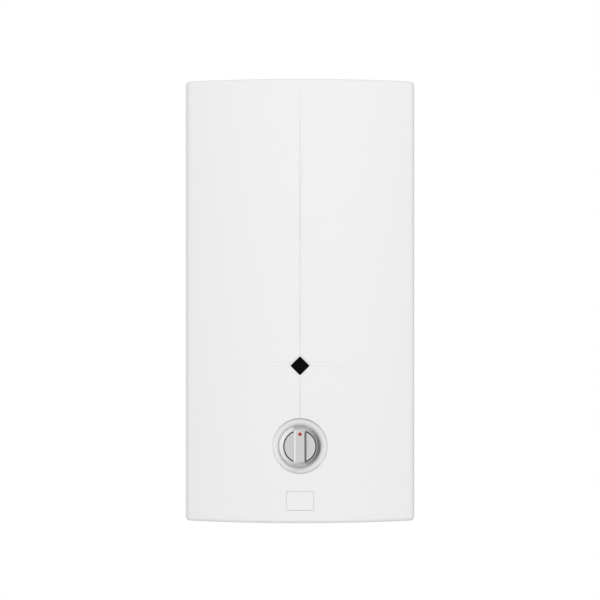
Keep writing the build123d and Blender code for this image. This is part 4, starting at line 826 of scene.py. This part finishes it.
def element_route(i):
    """From an upper tab of the cut-out up over the flange to the ring on an element's stud."""
    tab, nut = high_tabs[i], stud_nuts[0]
    lean, start, top = i - 1, middle(tab).x, tab[1].z
    side_nuts = sorted((middle(n) for n in stud_nuts), key=lambda n: n.x)
    stud, out = side_nuts[i], tab_depth + 9.5 * MM
    end_z = nut[0].z - ROOM / 2
    lead = [at(start, tab_depth, top + 1 * MM), at(start, tab_depth, top + 12 * MM),
            at(start + lean * 5 * MM, out - abs(lean) * 2.5 * MM, top + 40 * MM)]
    if lean == 0:
        return lead + [at(start + 1 * MM, out, flange_low),
                       at(stud.x + 1 * MM, out - 12 * MM, end_z + 9 * MM),
                       at(stud.x, -stud.y + 12 * MM, end_z), at(stud.x, -stud.y + 5 * MM, end_z)]
    reach = stud.x + lean * 17 * MM
    return lead + [at(start + lean * 12 * MM, out - 6 * MM, flange_low),
                   at(reach + lean * 4 * MM, 74 * MM, end_z + 8 * MM), at(reach, -stud.y, end_z),
                   at(stud.x + lean * 5 * MM, -stud.y, end_z)]


for i, colour in enumerate(("brown", "black", "grey")):
    lengths = [tube(route(i), WIRE) for route in (supply_route, load_route, element_route)]
    stand_in(colour + "_wires_round", merged(*lengths), colour + "_wires", 40, False)
print("phase wires: 9 lengths")

# %% [markdown]
# The earth wire joins the last clamp with the vessel's tab. The thin blue wires carry the selector's and the
# lamp's small current to the side of the switch.

# %% Earth and control wires
earth_x, earth_z = middle(terminal_plates[-1]).x, row_high + STOP
vessel_low, vessel_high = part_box("vessel")
gasket_low, gasket_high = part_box("flange_gasket_ring")
tab_x, tab_z = vessel_high.x, vessel_high.z - 3.5 * MM
axis_depth = -(gasket_low.y + gasket_high.y) / 2
reach = earth_x - tab_x
route = [at(earth_x, terminal_depth, earth_z), at(earth_x, terminal_depth, earth_z + 10 * MM),
         at(earth_x - 0.2 * reach, terminal_depth + 7 * MM, earth_z + 22 * MM),
         at(earth_x - 0.58 * reach, (terminal_depth + axis_depth) / 2 + 6 * MM, earth_z + 24 * MM),
         at(tab_x + 10 * MM, axis_depth, tab_z), at(tab_x, axis_depth, tab_z)]
banded = stand_in("earth_wire_round", tube(route, WIRE), "earth_wire", 40, False)
banded.data.materials.append(finishes["yellow_sleeve"])
AROUND = 10
for polygon in banded.data.polygons:
    polygon.material_index = int(polygon.index % AROUND < AROUND / 2)

THIN = 1.0
selector_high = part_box("selector_body")[1]
switch_left = switch_box[0].x
lamp_low, lamp_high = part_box("pilot_lamp")
window_z = (lamp_low.z + lamp_high.z) / 2
switch_front = -switch_plates[0][1].y
thin = []
for i in (0, 1):
    z = knob_at.z + (20 * i - 10) * MM
    end_z = switch_low + (1 + 4 * i) * MM
    side, depth = selector_high.x, -selector_high.y + 7 * MM
    thin.append(tube([at(side, depth, z), at(side + 7 * MM, depth, z),
                      at(side + (3 - 4 * i) * MM, depth + 10 * MM, knob_at.z + 44 * MM),
                      at((10 - 3 * i) * MM, switch_front, knob_at.z + 66 * MM),
                      at(8 * MM, 44 * MM, end_z), at(switch_left, 44 * MM, end_z)], THIN, around=2))
    z = window_z + (4 * i - 2) * MM
    start, depth = 4.3 * MM, -lamp_high.y - 10 * MM
    thin.append(tube([at(start, depth, z), at(start + 7 * MM, depth, z),
                      at(start + 5 * MM, 50 * MM, z + 18 * MM), at(switch_left, 50 * MM, z + 18 * MM)],
                     THIN, around=2))
stand_in("control_wires_round", merged(*thin), "control_wires", 40, False)
print("thin wires:", len(thin))

# %% [markdown]
# What the wires end in is tinned or bare brass: ferrules pressed square by the clamp's tool, receptacles with
# rolled-in edges, and rings. Each clamp screw also presses on a small square washer.

# %% Ferrules, washers, receptacles and rings
metal_ends, washers = [], []


def small_bar(low, high, ease=0.2):
    """A box between two corners in metres, its edges eased."""
    bm = cube((high - low) / MM, (low + high) / 2 / MM)
    return bevelled(bm, bm.edges[:], ease, 2)


clamp_rows = [(middle(p).x, z, p[0].y) for p in terminal_plates for z in (row_low, row_high)]
clamp_rows += [(middle(p).x, middle(p).z, p[0].y) for p in switch_plates]
for x, z, plate in clamp_rows:
    washers.append(small_bar(Vector((x - 4.3 * MM, plate - 4.0 * MM, z - 4.3 * MM)),
                             Vector((x + 4.3 * MM, plate - 3.1 * MM, z + 4.3 * MM))))
used = [(middle(terminal_plates[i]).x, row_low, -1, terminal_depth) for i in range(3)]
used += [(x, switch_rows[1], 1, switch_depth) for x in switch_x]
used += [(x, switch_rows[0], -1, switch_depth) for x in switch_x]
used += [(earth_x, row_high, 1, terminal_depth)]
for x, z, way, depth in used:
    near, far = sorted((z + way * 2.0 * MM, z + way * 6.5 * MM))
    metal_ends.append(small_bar(Vector((x - 1.3 * MM, -depth - 0.9 * MM, near)),
                                Vector((x + 1.3 * MM, -depth + 1.9 * MM, far)), 0.4))
    metal_ends.append(lathe([(0, 4.5), (2.3, 4.5, 0.3), (2.15, 7.0, 0.2), (0, 7.0)],
                            Vector((x, -depth, z)), UP * way, 20))
piece("clamp_washers", merged(*washers), "back", "zinc_steel", angle=30)


def receptacle(end, along):
    """A push-on sleeve for a 6.3 mm tab: flat mouth, then a crimp that grips the wire."""
    side = RIGHT if abs(along.z) > 0.5 else BACK
    flat = along.cross(side)
    turn = Matrix((side, flat, along)).transposed().to_4x4()
    mouth = cube((7.4, 2.2, 7.6))
    bevelled(mouth, mouth.edges[:], 0.5, 3)
    slot = cube((5.0, 3.0, 4.0), (0, 1.4, 0.4))
    crimp = lathe([(0, 3.0), (1.7, 3.0), (2.2, 4.4, 0.4), (2.2, 8.0, 0.3), (0, 8.0)], Vector(), UP, 20)
    body = merged(booleaned(mouth, slot), crimp)
    bmesh.ops.transform(body, matrix=Matrix.Translation(end - along * 4.0 * MM) @ turn, verts=body.verts)
    return body


for tab in low_tabs:
    metal_ends.append(receptacle(at(middle(tab).x, tab_depth, tab[0].z), DOWN))
for tab in high_tabs:
    metal_ends.append(receptacle(at(middle(tab).x, tab_depth, tab[1].z), UP))
metal_ends.append(receptacle(at(tab_x, axis_depth, tab_z), RIGHT))
RING_BORE = 2.1
for nut in stud_nuts:
    base = Vector((middle(nut).x, middle(nut).y, nut[0].z - ROOM))
    for rim, low, high in ((4.0, 0, 1.5), (4.3, 1.6, 2.5), (3.8, 2.6, 4.0)):
        metal_ends.append(lathe([(RING_BORE, low), (rim, low, 0.2), (rim, high, 0.2), (RING_BORE, high)],
                                base, UP, 24, closed=True))
piece("wire_ends", merged(*metal_ends), "back", "brass", angle=30)
print("clamped ends:", len(used), "push-on:", len(tabs) + 1, "rings:", len(stud_nuts))

# %% [markdown]
# ## Fittings and fasteners
# Pipe thread G 1/2 has 14 turns to the inch: it climbs 1.814 mm a turn and its crest stands 1.16 mm above its
# root. A hexagon is cut from a bar and its ends are turned, which takes off the six corners at 30 degrees.

# %% Nipples, bolts and nuts
THREAD_CREST, THREAD_PITCH, THREAD_DEPTH = 10.48, 1.814, 1.16


def hexagonal(flats, high, bore, lip=0.0, lip_bore=0.0):
    """A hexagon from 0 to high on +Z, its corners turned off; a lip narrows the far end of its bore."""
    corner = flats / math.sqrt(3)
    relief = (corner - flats / 2) * math.tan(math.radians(30))
    blank = bmesh.new()
    bmesh.ops.create_cone(blank, cap_ends=True, segments=6, radius1=corner * MM, radius2=corner * MM,
                          depth=high * MM)
    bmesh.ops.translate(blank, vec=UP * high / 2 * MM, verts=blank.verts)
    spare = 0.5
    inner, outer = flats / 2 - spare * math.sqrt(3), flats / 2 + (relief + spare) * math.sqrt(3)
    turned_ends = lathe([(0, -spare), (inner, -spare), (outer, relief + spare),
                         (outer, high - relief - spare), (inner, high + spare), (0, high + spare)],
                        Vector(), UP, 72)
    shape = booleaned(blank, turned_ends, "INTERSECT")
    if not bore:
        return shape
    near = [(0, -1), (bore + 1.4, -1), (bore, 0.4), (bore, high - max(lip, 0.4))]
    far = [(bore, high - 0.4), (bore + 1.4, high + 1)]
    if lip:
        far = [(lip_bore, high - lip), (lip_bore, high + 1)]
    drill = lathe(near + far + [(0, high + 1)], Vector(), UP, 48)
    return booleaned(shape, drill)


def corner_spin(box, across, along):
    """The turn that brings a hexagon's corner where its solid has it; 0 and 1 name the two directions."""
    size = box[1] - box[0]
    return math.radians(30) if size[across] > size[along] else 0.0


def nuts_on(flats, high, bore, boxes, facing=False):
    """Copies of one nut over upright studs, or over studs that face the room."""
    places = []
    for low, top in boxes:
        here = (low + top) / 2
        if facing:
            places.append(stand(here.x, top.y, here.z, TO_ROOM, corner_spin((low, top), 0, 2)))
        else:
            places.append(stand(here.x, here.y, low.z, spin=corner_spin((low, top), 0, 1)))
    return copies(hexagonal(flats, high, bore), places)


def nipple_on(node):
    """A nipple with its bore, its long pipe thread, its hexagon and its short upper thread."""
    low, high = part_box(node)
    foot = Vector(((low.x + high.x) / 2, (low.y + high.y) / 2, low.z))
    root, top_root = THREAD_CREST - THREAD_DEPTH, 8.6
    body = lathe([(6.0, 0, 0.4), (root - 0.3, 0), (root, 0.8), (root, 17.6), (9.0, 18.2), (9.0, 25.8),
                  (8.4, 26.2), (top_root, 26.8), (top_root, 35.2), (top_root - 0.8, 36), (6.0, 36, 0.4)],
                 Vector(), UP, 64, closed=True)
    threads = [thread(root, 0.6, 18.6, THREAD_PITCH, THREAD_DEPTH, 48),
               thread(top_root, 26.6, 36.4, 1.5, 0.9, 40)]
    collar = hexagonal(24.0, 8.0, 8.9)
    spin = Matrix.Rotation(corner_spin((low, high), 0, 1), 4, "Z")
    bmesh.ops.transform(collar, matrix=Matrix.Translation(UP * 18 * MM) @ spin, verts=collar.verts)
    whole = merged(body, collar, *threads)
    bmesh.ops.translate(whole, vec=foot, verts=whole.verts)
    return stand_in(node + "_threaded", whole, node)


nipple_on("cold_nipple")
nipple_on("hot_nipple")

hot_nut, cold_nut = sorted(islands("union_nuts"), key=lambda b: b[0].x)
hot_middle, cold_middle = middle(hot_nut), middle(cold_nut)
ALONG = Matrix.Rotation(math.radians(-90), 4, "Y")
unions = copies(hexagonal(22.0, 14.0, 9.55, 4.0, 6.1), [
    stand(hot_middle.x, hot_middle.y, hot_nut[0].z, spin=corner_spin(hot_nut, 0, 1)),
    stand(cold_nut[1].x, cold_middle.y, cold_middle.z, ALONG, corner_spin(cold_nut, 2, 1))])
stand_in("union_nuts_turned", unions, "union_nuts")

BOLT_HEAD, BOLT_ROOT, BOLT_SHANK = 4.0, 2.2, 2.45
bolt_boxes = islands("flange_bolts")
tip = BOLT_HEAD - (bolt_boxes[0][1].z - bolt_boxes[0][0].z) / MM
shank = lathe([(0, tip), (1.9, tip, 0.2), (BOLT_ROOT, tip + 0.4), (BOLT_ROOT, tip + 11),
               (BOLT_SHANK, tip + 11.3), (BOLT_SHANK, 0.2), (0, 0.2)], Vector(), UP, 32)
bolt = merged(hexagonal(8.0, BOLT_HEAD, 0.0), shank, thread(BOLT_ROOT, tip + 0.3, tip + 11.4, 0.8, 0.28, 24))
bolt_places = [stand(middle(b).x, middle(b).y, b[1].z - BOLT_HEAD * MM, spin=corner_spin(b, 0, 1))
               for b in bolt_boxes]
stand_in("flange_bolts_cut", copies(bolt, bolt_places), "flange_bolts")
stand_in("flange_nuts_cut", nuts_on(8.0, 4.0, 2.5, islands("flange_nuts")), "flange_nuts")

STUD_NUT = (7.0, 3.2, 2.05)
all_stud_nuts = islands("stud_nuts")
upright = [b for b in all_stud_nuts if b[1].y - b[0].y > 4 * MM]
facing_nuts = [b for b in all_stud_nuts if b[1].y - b[0].y <= 4 * MM]
stand_in("stud_nuts_cut", merged(nuts_on(*STUD_NUT, upright), nuts_on(*STUD_NUT, facing_nuts, True)),
         "stud_nuts")
stand_in("bushing_nut_cut", nuts_on(14.0, 3.0, 4.55, islands("bushing_nut"), True), "bushing_nut")
print("nuts:", len(all_stud_nuts) + len(bolt_boxes) + 3, "bolts:", len(bolt_boxes))

# %% [markdown]
# Fine threads on the element studs, the adjusting screw and the selector's bushing are spirals that stand a
# tenth of a millimetre proud of the smooth solids under them. Where the copper pipes enter the vessel, and
# under the vessel's flange, brazing leaves a bead of brass that has run into the corner.

# %% Stud threads and brazing
ridges = []
for low, top in upright:
    here, stud_top = (low + top) / 2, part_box("heating_elements")[1].z
    ridge = thread(1.98, 0, (stud_top - low.z) / MM - 0.3, 0.7, 0.12, 20)
    bmesh.ops.translate(ridge, vec=(here.x, here.y, low.z), verts=ridge.verts)
    ridges.append(ridge)
bush = thread(4.48, 0, 4.6, 0.75, 0.1, 32)
nut_box = islands("bushing_nut")[0]
bush_at = stand(middle(nut_box).x, nut_box[1].y + 0.2 * MM, middle(nut_box).z, TO_ROOM)
bmesh.ops.transform(bush, matrix=bush_at, verts=bush.verts)
piece("stud_threads", merged(*ridges, bush), "back", "zinc_steel", angle=30)

screw_low, screw_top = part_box("adjusting_screw")
ridge = thread(2.48, 0.6, (screw_top.z - screw_low.z) / MM - 5.4, 0.8, 0.12, 24)
screw_at = middle((screw_low, screw_top))
bmesh.ops.translate(ridge, vec=(screw_at.x, screw_at.y, screw_low.z), verts=ridge.verts)
piece("adjusting_thread", ridge, body_with("adjusting_screw"), "zinc_steel", angle=30)


def bead(place, axis, radius, size):
    """A ring of braze in the corner between a round part and the flat one on the axis's side."""
    return lathe([(radius - 0.2, 0), (radius + size, 0, size * 0.3), (radius + size * 0.35, -size * 0.4),
                  (radius, -size, size * 0.2), (radius - 0.2, -size)], place, axis, 56, closed=True)


FLANGE_RIM, PIPE_RADIUS = 10.5, 6.0
flange_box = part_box("element_flange")
VESSEL_RADIUS = (flange_box[1].x - flange_box[0].x) / 2 / MM - FLANGE_RIM
vessel_x = middle((gasket_low, gasket_high)).x
collar_end = vessel_x - (VESSEL_RADIUS + 9) * MM
outlet_z, flange_under = vessel_high.z - 20 * MM, vessel_high.z - 6 * MM
beads = [bead(Vector((vessel_x, -axis_depth, vessel_low.z)), UP, PIPE_RADIUS, 2.0),
         bead(Vector((collar_end, -axis_depth, outlet_z)), RIGHT, PIPE_RADIUS, 2.0),
         bead(Vector((vessel_x, -axis_depth, flange_under)), UP, VESSEL_RADIUS, 1.6)]
piece("brazing", merged(*beads), "back", "brass", angle=40)
print("beads:", len(beads), "threads:", len(ridges) + 2)

# %% [markdown]
# ## Soft edges
# Mouldings leave their tool with a radius on every edge, and pressed steel has one from the punch. The copy's
# flat faces are first made whole again, then a fine bevel goes along each edge, and the big faces keep their
# flat shading. The width is the tool's radius: half a millimetre on thick mouldings, less on sheet.

# %% Mouldings and sheet parts
EDGE = {
    "terminal_block": 0.5, "switch_body": 0.5, "cutout_housing": 0.6, "selector_body": 0.5,
    "lamp_bracket": 0.4, "back_plate": 0.4, "cable_grommet": 0.4, "selector_bracket": 0.3,
    "nipple_bracket": 0.3, "valve_strip": 0.3, "lever_bracket": 0.25, "rocker_lever": 0.25,
    "vessel_straps": 0.2, "star_bridge": 0.25, "element_flange": 0.5, "terminal_clamps": 0.2,
    "switch_clamps": 0.2, "cutout_tabs": 0.12, "diamond_window": 0.3, "badge_plate": 0.25,
    "valve_lower_body": 0.6, "valve_upper_body": 0.6, "vessel": 0.3, "knob_keeper": 0.15,
    "selector_shaft": 0.25, "adjusting_screw": 0.3, "pivot_pin": 0.2, "inlet_strainer": 0.1,
}


def soften(node, width):
    """A copy with whole flat faces and a rounded bevel along its edges."""
    bm = copy_of(node)
    bmesh.ops.dissolve_limit(bm, angle_limit=math.radians(0.6), verts=bm.verts, edges=bm.edges)
    made = stand_in(node + "_soft", bm, node, 180, False)
    rounding = made.modifiers.new("edges", "BEVEL")
    rounding.width, rounding.segments = width * MM, 2
    rounding.limit_method, rounding.angle_limit = "ANGLE", math.radians(38)
    made.modifiers.new("face areas", "WEIGHTED_NORMAL")
    return made


for name, width in EDGE.items():
    soften(name, width)
print("softened:", len(EDGE))

# %% [markdown]
# The pilot lamp is a small neon lamp: a glass tube drawn to a tip, and inside it two nickel rods on fine
# leads that enter through a pressed foot.

# %% Inside the lamp
lamp_axis = Vector((0, lamp_high.y, window_z))
lamp_length = (lamp_high.y - lamp_low.y) / MM
inner = []
for side in (-1, 1):
    foot = lamp_axis + RIGHT * side * 1.0 * MM
    inner.append(lathe([(0, 1.2), (0.15, 1.2), (0.15, 3.6), (0.42, 3.7), (0.42, lamp_length - 5, 0.2),
                        (0, lamp_length - 5)], foot, FRONT, 16))
piece("lamp_electrodes", merged(*inner), "back", "zinc_steel", angle=30)
print("electrodes:", len(inner))

# %% [markdown]
# ## The rest of the solids
# What is round all over only needs smooth curves. A real spring shortens when it works, flattening towards the
# end that stays in its seat by as much as the piece that presses on it travels; here each spring only gets a
# smooth copy with a mesh of its own. A spring's row below names the joint that presses it, the height of its
# seat and that travel.

# %% Smooth copies and springs
SPRINGS = {"valve_spring": ("pusher_lift", -0.1214, 0.0025),
           "plunger_spring": ("plunger_lift", -0.04, 0.0041)}
for name, (joint, seat_z, travel) in SPRINGS.items():
    low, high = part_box(name)
    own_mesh(dress(name))
plain = [n for n in sorted(nodes) if not nodes[n].hide_render and n not in SPRINGS]
for name in plain:
    dress(name)
